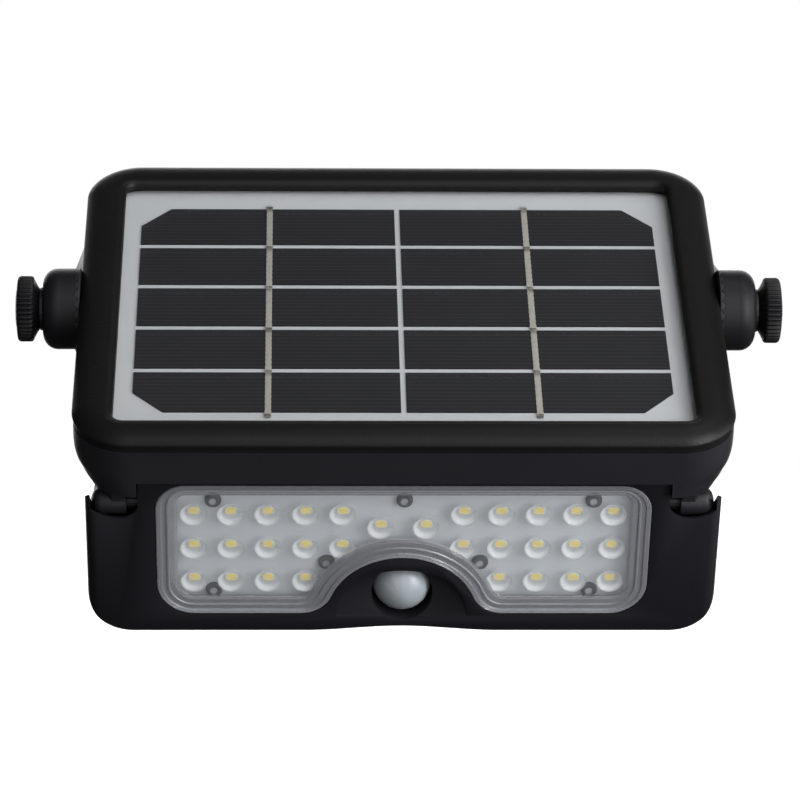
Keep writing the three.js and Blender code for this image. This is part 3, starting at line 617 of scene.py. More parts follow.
MAT_SLEEVE = clouded(
    "battery_sleeve", dark=(0.03, 0.13, 0.36), light=(0.045, 0.17, 0.42), scale=0.3, detail=4,
    rough=0.25, rough_gain=0.2, bump=0.1, dist=0.0001)
MAT_RIBBON = ribbon_material()
MAT_PHOSPHOR = clouded(
    "phosphor", dark=(0.95, 0.72, 0.10), light=(0.98, 0.82, 0.20), scale=3.0, rough=0.5,
    bump=0.1, dist=0.00004, spec=0.3, Emission_Color=(1.0, 0.74, 0.16), Emission_Strength=0.16)
MAT_PACKAGE = clouded(
    "led_package", dark=(0.70, 0.71, 0.70), light=(0.78, 0.79, 0.78), scale=2.0, rough=0.4,
    bump=0.05, dist=0.00004, spec=0.4)
MAT_SENSOR = mottled(
    "sensor_polyethylene", dark=(0.225, 0.23, 0.245), light=(0.275, 0.28, 0.295),
    fleck=(0.335, 0.34, 0.355), fleck_gain=0.2, broad=0.5, fine=2.2,
    rough=0.28, rough_gain=0.12, bump=0.06, dist=0.0001, Subsurface_Weight=0.15)
MAT_PANEL_GLASS = glass("panel_glass", tint=(0.99, 0.993, 0.996), gloss=0.10, rough=0.12)
MAT_LENS = glass("lens_clear", tint=(0.985, 0.99, 0.995), gloss=0.45, rough=0.12,
                 haze=0.03, haze_colour=(0.8, 0.82, 0.84))
MAT_LENS_BORDER = glass("lens_border", tint=(0.74, 0.75, 0.77), gloss=0.8, rough=0.22,
                        haze=0.26, haze_colour=(0.43, 0.44, 0.475))
MAT_DOME = dome_material()

# ------------------------------------------------------------------ solar panel
BEZEL_X, BEZEL_Y0, BEZEL_Y1, BEZEL_R = 91.3, -65.7, 72.3, 16.0
# outer side and top of the bezel: inset, z
BEZEL_OUTER = [
    (0.45, -2.0), (0.32, -1.9), (0.30, -0.28), (0.12, -0.16), (0.02, -0.02), (0.0, 0.15),
    (0.05, 0.34), (0.18, 0.58), (0.42, 0.9), (0.8, 1.28), (1.4, 1.78), (2.1, 2.18),
    (3.0, 2.52), (4.2, 2.80), (5.6, 2.95), (7.0, 3.0)]
# inner edge round the window: distance outside the window, z
BEZEL_INNER = [(2.6, 3.0), (1.9, 2.97), (1.25, 2.84), (0.7, 2.55), (0.3, 2.1), (0.08, 1.6),
               (0.0, 1.1), (0.0, 0.3), (0.06, 0.16)]


def bezel_frame():
    # half width, y0, y1, corner radius, z
    stations = [(BEZEL_X - d, BEZEL_Y0 + d, BEZEL_Y1 - d, BEZEL_R - d, z) for d, z in BEZEL_OUTER]
    stations += [(79.9 + d, -56.4 - d, 61.0 + d, 3.2 + d, z) for d, z in BEZEL_INNER]
    stations += [(84.3, -58.7, 63.6, 7.0, z) for z in (0.14, -2.0)]
    mesh = loft([lift("z", rounded_rect(-x, x, y0, y1, r, 20), z)
                 for x, y0, y1, r, z in stations], closed=True)
    piece("bezel_frame", mesh, MAT_BEZEL, "head", ["panel_bezel"], smooth=24)


def soldered_ribbon(side, side_name):
    """Uneven strip along y, lumpy at the gaps between rows of cells."""
    steps, start_y, length = 420, 54.75, 105.4
    centre_x, half_width, bottom = 37.5, 0.85, -1.2
    loops = []
    for i in range(steps + 1):
        y = start_y - length * i / steps
        sway = (0.10 * math.sin(y * 1.9 + side) + 0.06 * math.sin(y * 4.7 + 2 * side)
                + 0.05 * math.sin(y * 9.1))
        phase = ((RIBBON_TOP - y) / CELL_PITCH) % 1.0
        lump = math.exp(-((min(phase, 1 - phase)) / 0.05) ** 2)
        w = half_width + 0.05 * math.sin(y * 2.7 + side) + 0.12 * lump
        top = -1.09 + 0.02 * math.sin(y * 3.3) - 0.03 * lump
        x = side * centre_x + 0.06 * sway
        section = [(-w, bottom), (w, bottom), (w, top - 0.02), (w * 0.6, top), (-w * 0.6, top),
                   (-w, top - 0.02)]
        loops.append([(x + dx, y, z) for dx, z in section])
    piece("soldered_ribbon_" + side_name, loft(loops), MAT_RIBBON, "head",
          ["cell_ribbon_" + side_name])


# ------------------------------------------------------------------ shell
HEAD_FRONT = -65.6
# tray: z, half width, back y, corner radius
SHELL_STATIONS = [
    (-2.3, 90.95, 72.0, 15.6), (-4.5, 91.0, 71.7, 15.6), (-7.0, 91.0, 71.2, 15.5),
    (-9.0, 90.9, 70.8, 15.4), (-10.6, 90.65, 70.3, 15.3), (-12.0, 90.25, 69.8, 15.1),
    (-13.2, 89.6, 69.4, 14.9), (-14.1, 88.8, 68.9, 14.6), (-14.8, 87.9, 68.4, 14.4),
    (-15.2, 86.9, 68.0, 14.2)]
# ears round the corners over the hinge: z, half width, corner radius
EAR_STATIONS = [
    (-21.4, 84.2, 12.4), (-20.7, 84.95, 12.8), (-20.0, 85.6, 13.1), (-19.2, 86.2, 13.4),
    (-18.5, 86.7, 13.7), (-17.0, 87.65, 14.2), (-16.0, 88.25, 14.4), (-15.2, 88.7, 14.6),
    (-13.6, 89.35, 14.9), (-12.2, 89.8, 15.0)]
# ear seen from the side: y, z
EAR_SIDE = [(-66, -11.5), (-66, -17.4), (-64.6, -17.7), (-63, -18.2), (-52.6, -21.15),
            (-52, -21.27), (-49.4, -21.27), (-48.6, -21.0), (-43.5, -17.0), (-43.5, -11.5)]
# hinge barrel with a rounded outer end: radius, distance from the middle
BARREL = [(0, 76.4), (3.5, 76.4), (3.8, 76.7), (3.8, 83.3), (3.65, 84.1), (3.2, 84.9),
          (2.4, 85.5), (1.3, 85.85), (0, 85.95)]


def ear_block(inset, z0, z1):
    """The ear's full rounded plan, its first and last stations moved to z0 and z1."""
    heights = [z0] + [station[0] for station in EAR_STATIONS[1:-1]] + [z1]
    return loft([
        lift("z", rounded_rect(-x + inset, x - inset, HEAD_FRONT + inset, 67 - inset,
                               r - inset, 24), z)
        for z, (_, x, r) in zip(heights, EAR_STATIONS)])


def hinge_parts(side):
    """Ear, knuckle arm, barrel and tilt boss block of one side."""
    ear = cut(ear_block(0, -21.4, -12.2), ear_block(1.9, -22, -11))
    ear = common(ear, prism("x", EAR_SIDE, *span(side, 73.5, 91)))
    hollow = common(cyl("x", HINGE_Y, HINGE_Z, 8.6, *span(side, 85.9, 91)),
                    box(*span(side, 85, 91), -67, -57.2, -40, -5))
    arm = common(
        prism("z", rounded_rect(-84.3, 84.3, HEAD_FRONT, 67, 13.6, 24), HINGE_Z, -12.6),
        box(*span(side, 77.0, 84.3), HINGE_Y - 3.2, HINGE_Y + 3.2, HINGE_Z, -12.6))
    barrel = lathe([(r, side * h) for r, h in BARREL], 48, "x", (0, HINGE_Y, HINGE_Z))
    block = box(*span(side, 85.5, 91.9), HUB_Y - 8, HUB_Y + 8, -14.6, -2.5)
    return [cut(ear, hollow), arm, barrel, soften(block, 0.8, 3)]


def shell_tray():
    shell = loft([lift("z", rounded_rect(-x, x, HEAD_FRONT, back, r, 20), z)
                  for z, x, back, r in SHELL_STATIONS[::-1]])
    seat = prism("z", rounded_rect(-84.4, 84.4, -58.8, 63.7, 9.1, 8), -3.05, 1)
    mouth = prism("z", rounded_rect(-79.5, 79.5, -54.0, 58.5, 6, 6), -5.1, 1)
    cavity = prism("z", rounded_rect(-82.6, 82.6, -46.0, 63.0, 8, 8), -13.2, -5.0)
    shallow = prism("z", rounded_rect(-76.0, 76.0, -63.4, -45.0, 3, 4), -9.6, -5.0)
    shell = cut(shell, seat, mouth, cavity, shallow)
    # room for the lamp and its swing about the hinge
    recess = box(-76.3, 76.3, -63.7, -49.0, -30, -11.2)
    sweep = common(cyl("x", HINGE_Y, HINGE_Z, 14.3, -76.3, 76.3, 96),
                   box(-80, 80, -52, -30, -60, 0))
    shell = cut(shell, recess, sweep, box(-73.5, 73.5, -66, -63.6, -30, -12.8))
    parts = [part for side, _ in SIDES for part in hinge_parts(side)]
    # low ribs underneath
    parts += [box(x - 0.8, x + 0.8, -38, 58, -16.0, -15.0) for x in (-60, -30, 30, 60)]
    parts += [box(-76, 76, y - 0.7, y + 0.7, -15.9, -15.0) for y in (-20, 10, 40)]
    shell = join(shell, *parts)
    bores = []
    for side, _ in SIDES:
        bores.append(cyl("x", HINGE_Y, HINGE_Z, 2.7, *span(side, 76, 83.2), 40))
        bores.append(cyl("x", HUB_Y, HUB_Z, 3.6, *span(side, 84, 96), 40))
    # upright bore through the left knuckle arm, and a slot above it
    bores.append(cyl("z", -80.4, HINGE_Y, 1.4, HINGE_Z, -6, 24))
    bores.append(box(-81.8, -74, HINGE_Y - 1.6, HINGE_Y + 1.6, -10.6, -5.4))
    shell = soften(cut(shell, *bores), 0.25, 2, 40)
    piece("shell_tray", shell, MAT_SHELL, "head", ["panel_shell"], smooth=32)


# ------------------------------------------------------------------ tilt teeth
TEETH = 24
TOOTH_HEIGHT = 0.45
BOSS_FACE = 92.35       # x of the tooth faces on the head and on the bracket
HUB_FACE = 92.5
# radius, distance from the middle
BOSS_PROFILE = [(3.7, 91.35), (11.3, 91.35), (HUB_R, 91.6), (HUB_R, BOSS_FACE),
                (8.6, BOSS_FACE), (8.2, 91.9), (3.7, 91.9), (3.7, 91.35)]
HUB_PROFILE = [(8.4, 93.2), (8.7, HUB_FACE), (HUB_R, HUB_FACE), (HUB_R, 96.9), (8.4, 96.9),
               (8.4, 93.2)]


def toothed_ring(side, profile, face, phase, at):
    """A ring about x with clipped sine teeth on one face."""
    def ripple(angle, r, h):
        if h == face:
            wave = 1.9 * math.sin(TEETH * (angle - phase))
            h += TOOTH_HEIGHT * max(-1.0, min(1.0, wave))
        return r, h * side
    return lathe(profile, TEETH * 16, "x", at, ripple)


def tilt_teeth(side, side_name):
    mesh = toothed_ring(side, BOSS_PROFILE, BOSS_FACE, 0, (0, HUB_Y, HUB_Z))
    piece("tilt_teeth_" + side_name, mesh, MAT_SHELL, "head", smooth=30)


def hub_teeth(side, side_name):
    # the phase lines these teeth up with the tilted head's
    mesh = toothed_ring(side, HUB_PROFILE, HUB_FACE, TILT, (0, -STANDOFF, 0))
    piece("hub_teeth_" + side_name, mesh, MAT_BRACKET, "bracket", to=ROW,
          smooth=30)


# ------------------------------------------------------------------ bracket
ARM_X0, ARM_X1 = 93.8, 97.8
PLATE_HALF_HEIGHT = 28.0
PLATE_FRONT = -3.5
DISC_EDGE = 4.3         # rounding of the hub disc's outer face
# tapered side web, and the window through it and the arm: y, z
WEB = [(-STANDOFF + 8, -9), (-STANDOFF + 16, -11.6), (-3.2, -20.2), (-0.5, -20.2),
       (-0.5, 20.2), (-3.2, 20.2), (-STANDOFF + 16, 11.6), (-STANDOFF + 8, 9)]
WINDOW = [(-STANDOFF + 24, -4.5), (-14, -7.5), (-14, 7.5), (-STANDOFF + 24, 4.5)]
# hub disc: radius, distance from the middle
HUB_DISC = ([(0, 96.5), (HUB_R, 96.5)] + arc(HUB_R - DISC_EDGE, 97.9, DISC_EDGE, 0, 90, 10)
            + [(6.4, 102.2), (6.2, 102.1), (0, 102.1)])


def yoke_bracket():
    # half width, half height, corner radius, corner steps
    plates = [(86, PLATE_HALF_HEIGHT, 6, 10), (94, 20.2, 3, 6), (ARM_X1, 8.5, 2, 6)]
    bracket = join(*[prism("y", rounded_rect(-x, x, -z, z, r, steps), PLATE_FRONT, 0)
                     for x, z, r, steps in plates])
    slots = [prism("y", rounded_rect(x - 8, x + 8, -2.6, 2.6, 2.59, 10), -6, 2)
             for x in (-62, 62)]
    holes = [cyl("y", x, 0, 2.6, -6, 2, 40) for x in (-30, 30)]
    ribs = [box(-80, 80, -4.9, -3.3, z - 1.2, z + 1.2) for z in (-14, 14)]
    bracket = cut(join(bracket, *ribs), *slots, *holes)
    for side, _ in SIDES:
        web = cut(prism("x", WEB, *span(side, 91.9, 94.0)),
                  cyl("x", -STANDOFF, 0, 12.4, *span(side, 91, 93.3), 64))
        bracket = join(bracket, web)
        bracket = join(bracket, box(*span(side, ARM_X0, ARM_X1), -STANDOFF, -0.5, -8.5, 8.5))
        bracket = cut(bracket, prism("x", WINDOW, *span(side, 91, 99)))
        disc = lathe([(r, side * h) for r, h in HUB_DISC], 96, "x", (0, -STANDOFF, 0))
        bracket = join(bracket, disc)
        bracket = cut(bracket, cyl("x", -STANDOFF, 0, 2.75, *span(side, 92, 104), 40))
    piece("yoke_bracket", soften(bracket, 0.45, 3, 40), MAT_BRACKET, "bracket",
          ["wall_bracket"], to=ROW, smooth=30)


KNURLS, KNURL_DEPTH = 40, 0.55
# cone, knurled band and shallow dome: radius, distance from the middle
KNOB_PROFILE = [
    (2.45, 103.1), (5.7, 103.1), (5.95, 103.3), (6.6, 103.8), (8.4, 104.75), (9.1, 105.05),
    (9.35, 105.4), (9.4, 105.9), (9.4, 107.2), (9.4, 108.6), (9.2, 109.1), (8.8, 109.4),
    (8.0, 109.5), (7.2, 109.35), (6.6, 109.6), (5.0, 109.95), (2.5, 110.08), (0, 110.1)]


def thumb_knob(side, side_name):
    def knurl(angle, r, h):
        if r > 8.6:
            crest = 0.5 + 0.5 * math.cos(KNURLS * angle)
            r -= KNURL_DEPTH * (1 - crest) ** 1.5
        return r, h * side
    mesh = lathe(KNOB_PROFILE, KNURLS * 10, "x", (0, -STANDOFF, 0), knurl)
    piece("thumb_knob_" + side_name, mesh, MAT_KNOB, side_name + "_knob",
          [side_name + "_knob_head"], to=ROW, smooth=40)


# ------------------------------------------------------------------ lamp housing, front half
LAMP_X, LAMP_Z0 = 87.85, -66.1
ARCH_RISE, ARCH_X = 1.6, 28.0       # bulge in the bottom edge, and its half width
LAMP_FRONT, SEAM, LAMP_BACK = -63.5, -49.4, -33.0       # y
SEAM_FRONT, SEAM_BACK = SEAM - 0.15, SEAM + 0.15
WALL = 2.2

LENS_X, LENS_Z0, LENS_Z1 = 68.4, -60.0, -15.2
LENS_LOW_R, LENS_HIGH_R = 10.5, 8.3
# round notch in the bottom edge, above the sensor, and the fillet either side of it
NOTCH_Z, NOTCH_R, NOTCH_FILLET = -61.5, 21.2, 9.0

# screws from the back: x, z, front y of their posts
REAR_SCREWS = [(-79.5, -57.0, -61.7), (79.5, -57.0, -61.7), (-62.5, -22.6, -56.4),
               (62.5, -22.6, -56.4)]
SENSOR_Y, SENSOR_Z, SENSOR_R = -56.4, -53.6, 8.3
SENSOR_PLACE = Matrix.Translation((0, SENSOR_Y, SENSOR_Z))

# scooped lip beside the hinge knuckle: x, z
LIP = [
    (73.2, 2), (73.2, -22.3), (73.35, -23.0), (73.8, -23.9), (74.5, -24.7), (75.2, -25.3),
    (76.0, -25.8), (77.0, -26.2), (78.0, -26.4), (79.0, -26.45), (80.1, -26.4),
    (81.3, -26.15), (82.5, -25.8), (83.6, -25.3), (84.7, -24.8), (86.4, -23.8), (86.4, 2)]
# sloping cut at the outer end: y, z
OUTER_SLOPE = [(-64.6, 1), (-64.6, -17.9), (-63.5, -17.9), (-56.0, -26.0), (-53.0, -28.1),
               (-53.0, 1)]


def lamp_outline(x, z0, z1, r):
    """Square top, round bottom corners and a bottom edge arched in the middle."""
    points = []
    for i in range(25):
        t = -1 + i / 12
        points.append((t * ARCH_X, z0 + ARCH_RISE * (0.5 + 0.5 * math.cos(math.pi * t))))
    return (points + arc(x - r, z0 + r, r, -90, 0, 14) + [(x, z1), (-x, z1)]
            + arc(-x + r, z0 + r, r, 180, 270, 14))


def lens_outline(grow, top=1.0, bottom=1.0):
    """Lens edge grown outwards; top and bottom scale the growth of those two edges."""
    x, z0, z1 = LENS_X + grow, LENS_Z0 - grow * bottom, LENS_Z1 + grow * top
    low_r, high_r = LENS_LOW_R + grow, LENS_HIGH_R + grow
    notch_r, fillet = NOTCH_R - grow, NOTCH_FILLET + grow
    fillet_z = z0 + fillet
    rise = fillet_z - NOTCH_Z
    fillet_x = math.sqrt((notch_r + fillet) ** 2 - rise * rise)
    meet = math.degrees(math.atan2(rise, fillet_x))
    return (arc(fillet_x, fillet_z, fillet, -90, -180 + meet, 10)[::-1]
            + arc(x - low_r, z0 + low_r, low_r, -90, 0, 10)
            + arc(x - high_r, z1 - high_r, high_r, 0, 90, 10)
            + arc(-x + high_r, z1 - high_r, high_r, 90, 180, 10)
            + arc(-x + low_r, z0 + low_r, low_r, 180, 270, 10)
            + arc(-fillet_x, fillet_z, fillet, -90, -meet, 10)
            + arc(0, NOTCH_Z, notch_r, 180 - meet, meet, 40)[1:-1])


def front_plan():
    """The front half seen from above, with rounded front corners."""
    r = 3.2
    return ([(-LAMP_X, SEAM + 5), (LAMP_X, SEAM + 5)]
            + arc(LAMP_X - r, LAMP_FRONT + r, r, 0, -90, 12)
            + arc(-LAMP_X + r, LAMP_FRONT + r, r, -90, -180, 12))[::-1]


def corner_cuts(side):
    """Everything taken off one upper corner round the hinge."""
    # rounded shoulder at the seam
    x, z, r = 68.9, -34, 18.4
    shoulder = ([(73.2, 1), (73.2, z + math.sqrt(r ** 2 - 4.3 ** 2))]
                + arc(x, z, r, 75, 0, 16)[1:] + [(89, z), (89, 1)])
    return [
        box(*span(side, 73.2, 86.4), -62.4, -53.2, -28.2, 2),
        prism("y", on_side(LIP, side), LAMP_FRONT - 1, -62.3),
        prism("x", OUTER_SLOPE, *span(side, 86.2, 89)),
        prism("y", on_side(shoulder, side), -53.25, SEAM + 1),
        cyl("x", HINGE_Y, HINGE_Z, 2.7, *span(side, 70.3, 74), 40)]


def sensor_cuts():
    """Sloping bay, round bore and ball seat for the motion dome."""
    bay = prism("x", [(-75, -40), (-61.2, -40), (-61.2, -48.0), (-63.4, -61.0), (-75, -61.0)],
                -20, 20)
    hood = cyl("y", 0, -70.0, 25.3, -80, -50, 160)
    bay = common(common(bay, cyl("y", 0, NOTCH_Z, 18.5, -80, -50, 96)), hood)
    r = SENSOR_R + 0.3
    angles = [i * math.pi / 28 for i in range(1, 14)]
    ball = lathe([(0, -r)] + [(r * math.sin(a), -r * math.cos(a)) for a in angles]
                 + [(r, 1), (0, 1)], 72, "y")
    ball.transform(SENSOR_PLACE)
    return [bay, common(cyl("y", 0, SENSOR_Z, r, -80, -50, 72), hood),
            cyl("y", 0, SENSOR_Z, r, SENSOR_Y, -50, 72), ball]


def lamp_front():
    front = join(prism("y", lamp_outline(LAMP_X, LAMP_Z0, -17.9, 12.5), LAMP_FRONT, SEAM_FRONT),
                 box(-73.2, 73.2, LAMP_FRONT, SEAM_FRONT, -34, -13.0))
    front = common(front, prism("z", front_plan(), -80, -5))
    hollow = join(
        prism("y", lamp_outline(LAMP_X - WALL, LAMP_Z0 + WALL, -30.4, 10.3), -61.6, SEAM + 1),
        box(-70.8, 70.8, -61.6, SEAM + 1, -32, -15.0))
    front = cut(front, hollow)
    # lens surround and the thick disc behind the sensor
    front = join(front, prism("y", lens_outline(1.4), LAMP_FRONT, -56.2),
                 prism("y", arc(0, NOTCH_Z, 20.2, -2, 182, 48), LAMP_FRONT, -53.0))
    # stepped lens opening
    front = cut(front, prism("y", lens_outline(0.25), LAMP_FRONT - 1, -61.4),
                prism("y", lens_outline(-3.0), LAMP_FRONT - 1, -57.8))
    notches = corner_cuts(-1) + corner_cuts(1) + [box(-71.0, -67.4, -59.9, -54.5, -25.6, -22.4)]
    front = cut(front, *notches)
    posts = [cyl("y", x, z, 2.6, -56.5, -54.4, 32) for x, z in BOARD_SCREWS]
    posts += [cyl("y", x, z, 3.0, y, SEAM_FRONT, 32) for x, z, y in REAR_SCREWS]
    front = join(front, *posts)
    holes = [cyl("y", x, z, 1.35, -59, -54.9, 24) for x, z in BOARD_SCREWS]
    holes += [cyl("y", x, z, 1.5, max(y + 0.6, -59.5), SEAM + 1, 24) for x, z, y in REAR_SCREWS]
    front = cut(front, *holes)
    front = soften(cut(front, *sensor_cuts()), 0.3, 2, 40)
    piece("lamp_front", front, MAT_HOUSING, "lamp", ["lamp_housing"], smooth=32)


# ------------------------------------------------------------------ lens
LENS_BACK = -62.2
FIELD_FRONT = -62.75
# raised rim and stepped border: growth of the lens edge, y
BORDER_STEPS = [
    (0.0, LENS_BACK), (0.0, -63.35), (-0.25, -63.6), (-1.35, -63.6), (-1.6, -63.2),
    (-2.7, -63.15), (-2.95, -63.42), (-3.35, -63.42), (-3.6, -63.1), (-5.2, -63.0),
    (-5.5, -62.8), (-5.85, FIELD_FRONT), (-5.85, LENS_BACK)]


def border_outline(grow):
    return lens_outline(grow, top=0.62, bottom=0.92)


def lens_plate():
    border = loft([lift("y", border_outline(grow), y) for grow, y in BORDER_STEPS], closed=True)
    piece("lens_border", border, MAT_LENS_BORDER, "lamp", smooth=30)
    field = prism("y", border_outline(-5.9), FIELD_FRONT, LENS_BACK)
    piece("lens_field", field, MAT_LENS, "lamp", ["lens_cover"])


LED_COLUMNS = [16.8, 27.1, 37.5, 47.8, 58.1]
LED_ROWS = [-26.1, -37.8, -49.5]


def led_places():
    """(x, z) of every LED; the lowest row leaves room for the sensor."""
    places = []
    for side, _ in SIDES:
        for row, z in enumerate(LED_ROWS):
            columns = LED_COLUMNS[1:] if row == 2 else LED_COLUMNS
            places += [(side * x, z) for x in columns]
        places.append((side * 6.3, -30.8))
    return places


LEDS = led_places()
DOME_R = 3.75
DOME_RADII = [0.0, 0.9, 1.5, 2.0, 2.4, 2.75, 3.05, 3.3, 3.5, 3.65, DOME_R]
DOME_SEGMENTS = 40


def dome_painted_highlight(angle, r):
    """Painted whiteness and highlight of a clear dome: a bright rim, strongest low on the left,
    round a clear centre.
    """
    part = r / DOME_R
    if part >= 0.97:
        return 0.45
    rim = math.exp(-((part - 0.78) / 0.16) ** 2)
    low = 0.5 + 0.5 * math.cos(angle - math.radians(238))
    centre = math.exp(-(((r * math.cos(angle) - 0.4) / 1.7) ** 2
                        + ((r * math.sin(angle) - 0.9) / 1.3) ** 2))
    return max(0.0, min(1.0, 0.42 + rim * (0.25 + 0.6 * low) - 0.5 * centre))


def led_dome(x, z):
    """One shallow dome bulging backwards... closed by a flat cap at the lens plate."""
    n = DOME_SEGMENTS
    angles = [2 * math.pi * k / n for k in range(n)]
    verts, painted_highlight = [], []
    for r in DOME_RADII:
        y = -60.6 - 1.5 * (r / DOME_R) ** 2
        for angle in angles if r > 0 else [0.0]:
            verts.append((x + r * math.cos(angle), y, z + r * math.sin(angle)))
            # each vertex carries its share of the painted highlight
            painted_highlight.append(dome_painted_highlight(angle, r))
    cap = len(verts)
    for angle in angles:
        verts.append((x + DOME_R * math.cos(angle), -62.15, z + DOME_R * math.sin(angle)))
        painted_highlight.append(0.12)
    faces = [(0, 1 + (k + 1) % n, 1 + k) for k in range(n)]
    for a in range(1, cap, n):
        b = a + n
        faces += [(a + k, a + (k + 1) % n, b + (k + 1) % n, b + k) for k in range(n)]
    faces.append(tuple(range(cap, cap + n)))
    mesh = bpy.data.meshes.new("m")
    mesh.from_pydata(verts, [], faces)
    return mesh, painted_highlight


def lens_domes():
    domes = [led_dome(x, z) for x, z in LEDS]
    mesh = merged([dome for dome, _ in domes])
    # the painted highlight is kept as a point attribute
    attribute = mesh.attributes.new("painted_highlight", "FLOAT", "POINT")
    attribute.data.foreach_set("value", [value for _, painted_highlight in domes for value in painted_highlight])
    bm = bmesh.new()
    bm.from_mesh(mesh)
    bmesh.ops.recalc_face_normals(bm, faces=bm.faces)
    bm.to_mesh(mesh)
    bm.free()
    piece("lens_domes", mesh, MAT_DOME, "lamp", smooth=50)


# ------------------------------------------------------------------ LED board and sensor
# radius, y
BOARD_SCREW_PROFILE = [
    (0, -60.5), (0.9, -60.5), (1.25, -60.85), (1.9, -60.75), (2.25, -60.4), (2.3, -59.95),
    (2.3, -59.6), (1.05, -59.55), (1.05, -55.6), (0, -55.6)]


def led_board():
    board = cut(prism("y", lens_outline(-3.5), -59.5, -58.0),
                *[cyl("y", x, z, 1.35, -61, -57, 24) for x, z in BOARD_SCREWS])
    piece("led_circuit_board", soften(board, 0.12, 1), MAT_BOARD, "lamp",
          ["led_board"])
    packages = [soften(box(x - 1.75, x + 1.75, -60.3, -59.45, z - 1.4, z + 1.4), 0.12)
                for x, z in LEDS]
    piece("led_packages", merged(packages), MAT_PACKAGE, "lamp")
    pads = [prism("y", rounded_rect(x - 1.45, x + 1.45, z - 1.15, z + 1.15, 0.75, 8),
                  -60.4, -60.2) for x, z in LEDS]
    piece("led_phosphor", merged(pads), MAT_PHOSPHOR, "lamp")
    for i, (x, z) in enumerate(BOARD_SCREWS, 1):
        piece("pcb_screw_%d" % i, lathe(BOARD_SCREW_PROFILE, 40, "y", (x, 0, z)),
              MAT_BOARD_SCREW, "lamp", ["board_screw_%d" % i])


def facet(angle, r, h):
    """Faint facets on the outside of the motion dome."""
    from_tip = math.degrees(math.atan2(r, -h)) if h < 0 else 90
    if math.hypot(r, h) < 8.0 or h > -0.2:
        return r, h
    scale = (1.0 - 0.0035 * abs(math.sin(6 * angle)) * min(1, from_tip / 30)
             - 0.003 * abs(math.sin(math.radians(from_tip * 4))))
    return r * scale, h * scale


def motion_dome():
    inner_r = 7.4
    outer = [math.radians(87 * i / 28) for i in range(1, 29)]
    inner = [math.radians(87 * i / 10) for i in range(10, 0, -1)]
    profile = [(0.0, -SENSOR_R)]
    profile += [(SENSOR_R * math.sin(a), -SENSOR_R * math.cos(a)) for a in outer]
    profile += [(SENSOR_R, 2.4), (SENSOR_R - 0.2, 2.6), (inner_r, 2.6)]
    profile += [(inner_r * math.sin(a), -inner_r * math.cos(a)) for a in inner]
    profile.append((0.0, -inner_r))
    dome = lathe(profile, 96, "y", ripple=facet)
    dome.transform(SENSOR_PLACE)
    piece("motion_dome", dome, MAT_SENSOR, "lamp", ["sensor_dome"], smooth=60)


# ------------------------------------------------------------------ lamp housing, rear cover
COVER_EDGE = 2.4        # rounding of the back edge
BUTTON_X, BUTTON_Z = 55, -50
# half width, z0, z1, bottom and top corner radius, y
COVER_STATIONS = [(86.9, -65.0, -16.0, 12.1, 18.0, SEAM_BACK),
                  (86.0, -64.1, -16.6, 11.4, 17.6, LAMP_BACK - COVER_EDGE)]
COVER_HOLLOW = [(84.7, -62.8, -18.2, 9.9, 15.8, SEAM - 1),
                (83.6, -61.7, -19.0, 9.0, 15.4, LAMP_BACK - 2.0)]
POST_LIMIT = [(86.0, -64.1, -16.9, 12, 18.0, SEAM_BACK),
              (85.0, -63.1, -17.6, 10.4, 18.0, LAMP_BACK - 0.7)]
# radius, y
REAR_SCREW_PROFILE = [(0, -35.8), (0.6, -35.8), (1.0, -35.15), (2.2, -35.2), (2.6, -35.6),
                      (2.6, -37.0), (1.2, -37.0), (1.2, -55.2), (0, -55.2)]
BUTTON_PROFILE = [
    (0, -42.6), (1.4, -42.6), (1.5, -42.5), (1.5, -36.4), (5.1, -36.4), (5.2, -36.3),
    (5.2, -35.4), (5.1, -35.3), (4.0, -35.3), (4.0, -33.0), (3.7, -32.6), (3.2, -32.42),
    (2.4, -32.5), (0, -32.75)]


def cover_loft(stations):
    return loft([
        lift("y", arc(x - low, z0 + low, low, -90, 0, 14)
             + arc(x - high, z1 - high, high, 0, 90, 14)
             + arc(-x + high, z1 - high, high, 90, 180, 14)
             + arc(-x + low, z0 + low, low, 180, 270, 14), y)
        for x, z0, z1, low, high, y in stations])


def lamp_back():
    stations = list(COVER_STATIONS)
    x, z0, z1, low, high, y = stations[-1]
    for degrees in (15, 30, 45, 60, 75, 90):
        angle = math.radians(degrees)
        d = COVER_EDGE * (1 - math.cos(angle))
        stations.append((x - d, z0 + d, z1 - d, low - d, high - d,
                         y + COVER_EDGE * math.sin(angle)))
    cover = cut(cover_loft(stations), cover_loft(COVER_HOLLOW))
    limit = cover_loft(POST_LIMIT)
    posts = [common(cyl("y", x, z, 3.4, SEAM_BACK, LAMP_BACK - 1.0, 32), limit)
             for x, z, _ in REAR_SCREWS]
    cover = join(cover, *posts)
    holes = [cyl("y", x, z, 1.5, SEAM - 1, LAMP_BACK + 1, 24) for x, z, _ in REAR_SCREWS]
    holes += [cyl("y", x, z, 2.9, -37.2, LAMP_BACK + 1, 32) for x, z, _ in REAR_SCREWS]
    cover = cut(cover, *holes)
    grooves = [prism("y", rounded_rect(x - 1.0, x + 1.0, -38, -24, 0.95, 5),
                     LAMP_BACK - 0.8, LAMP_BACK + 1) for x in range(-40, 41, 10)]
    button_hole = cyl("y", BUTTON_X, BUTTON_Z, 4.3, LAMP_BACK - 4, LAMP_BACK + 1, 40)
    cover = soften(cut(cover, button_hole, *grooves), 0.3, 2, 40)
    piece("lamp_back", cover, MAT_HOUSING, "lamp", ["lamp_rear_cover"],
          smooth=32)


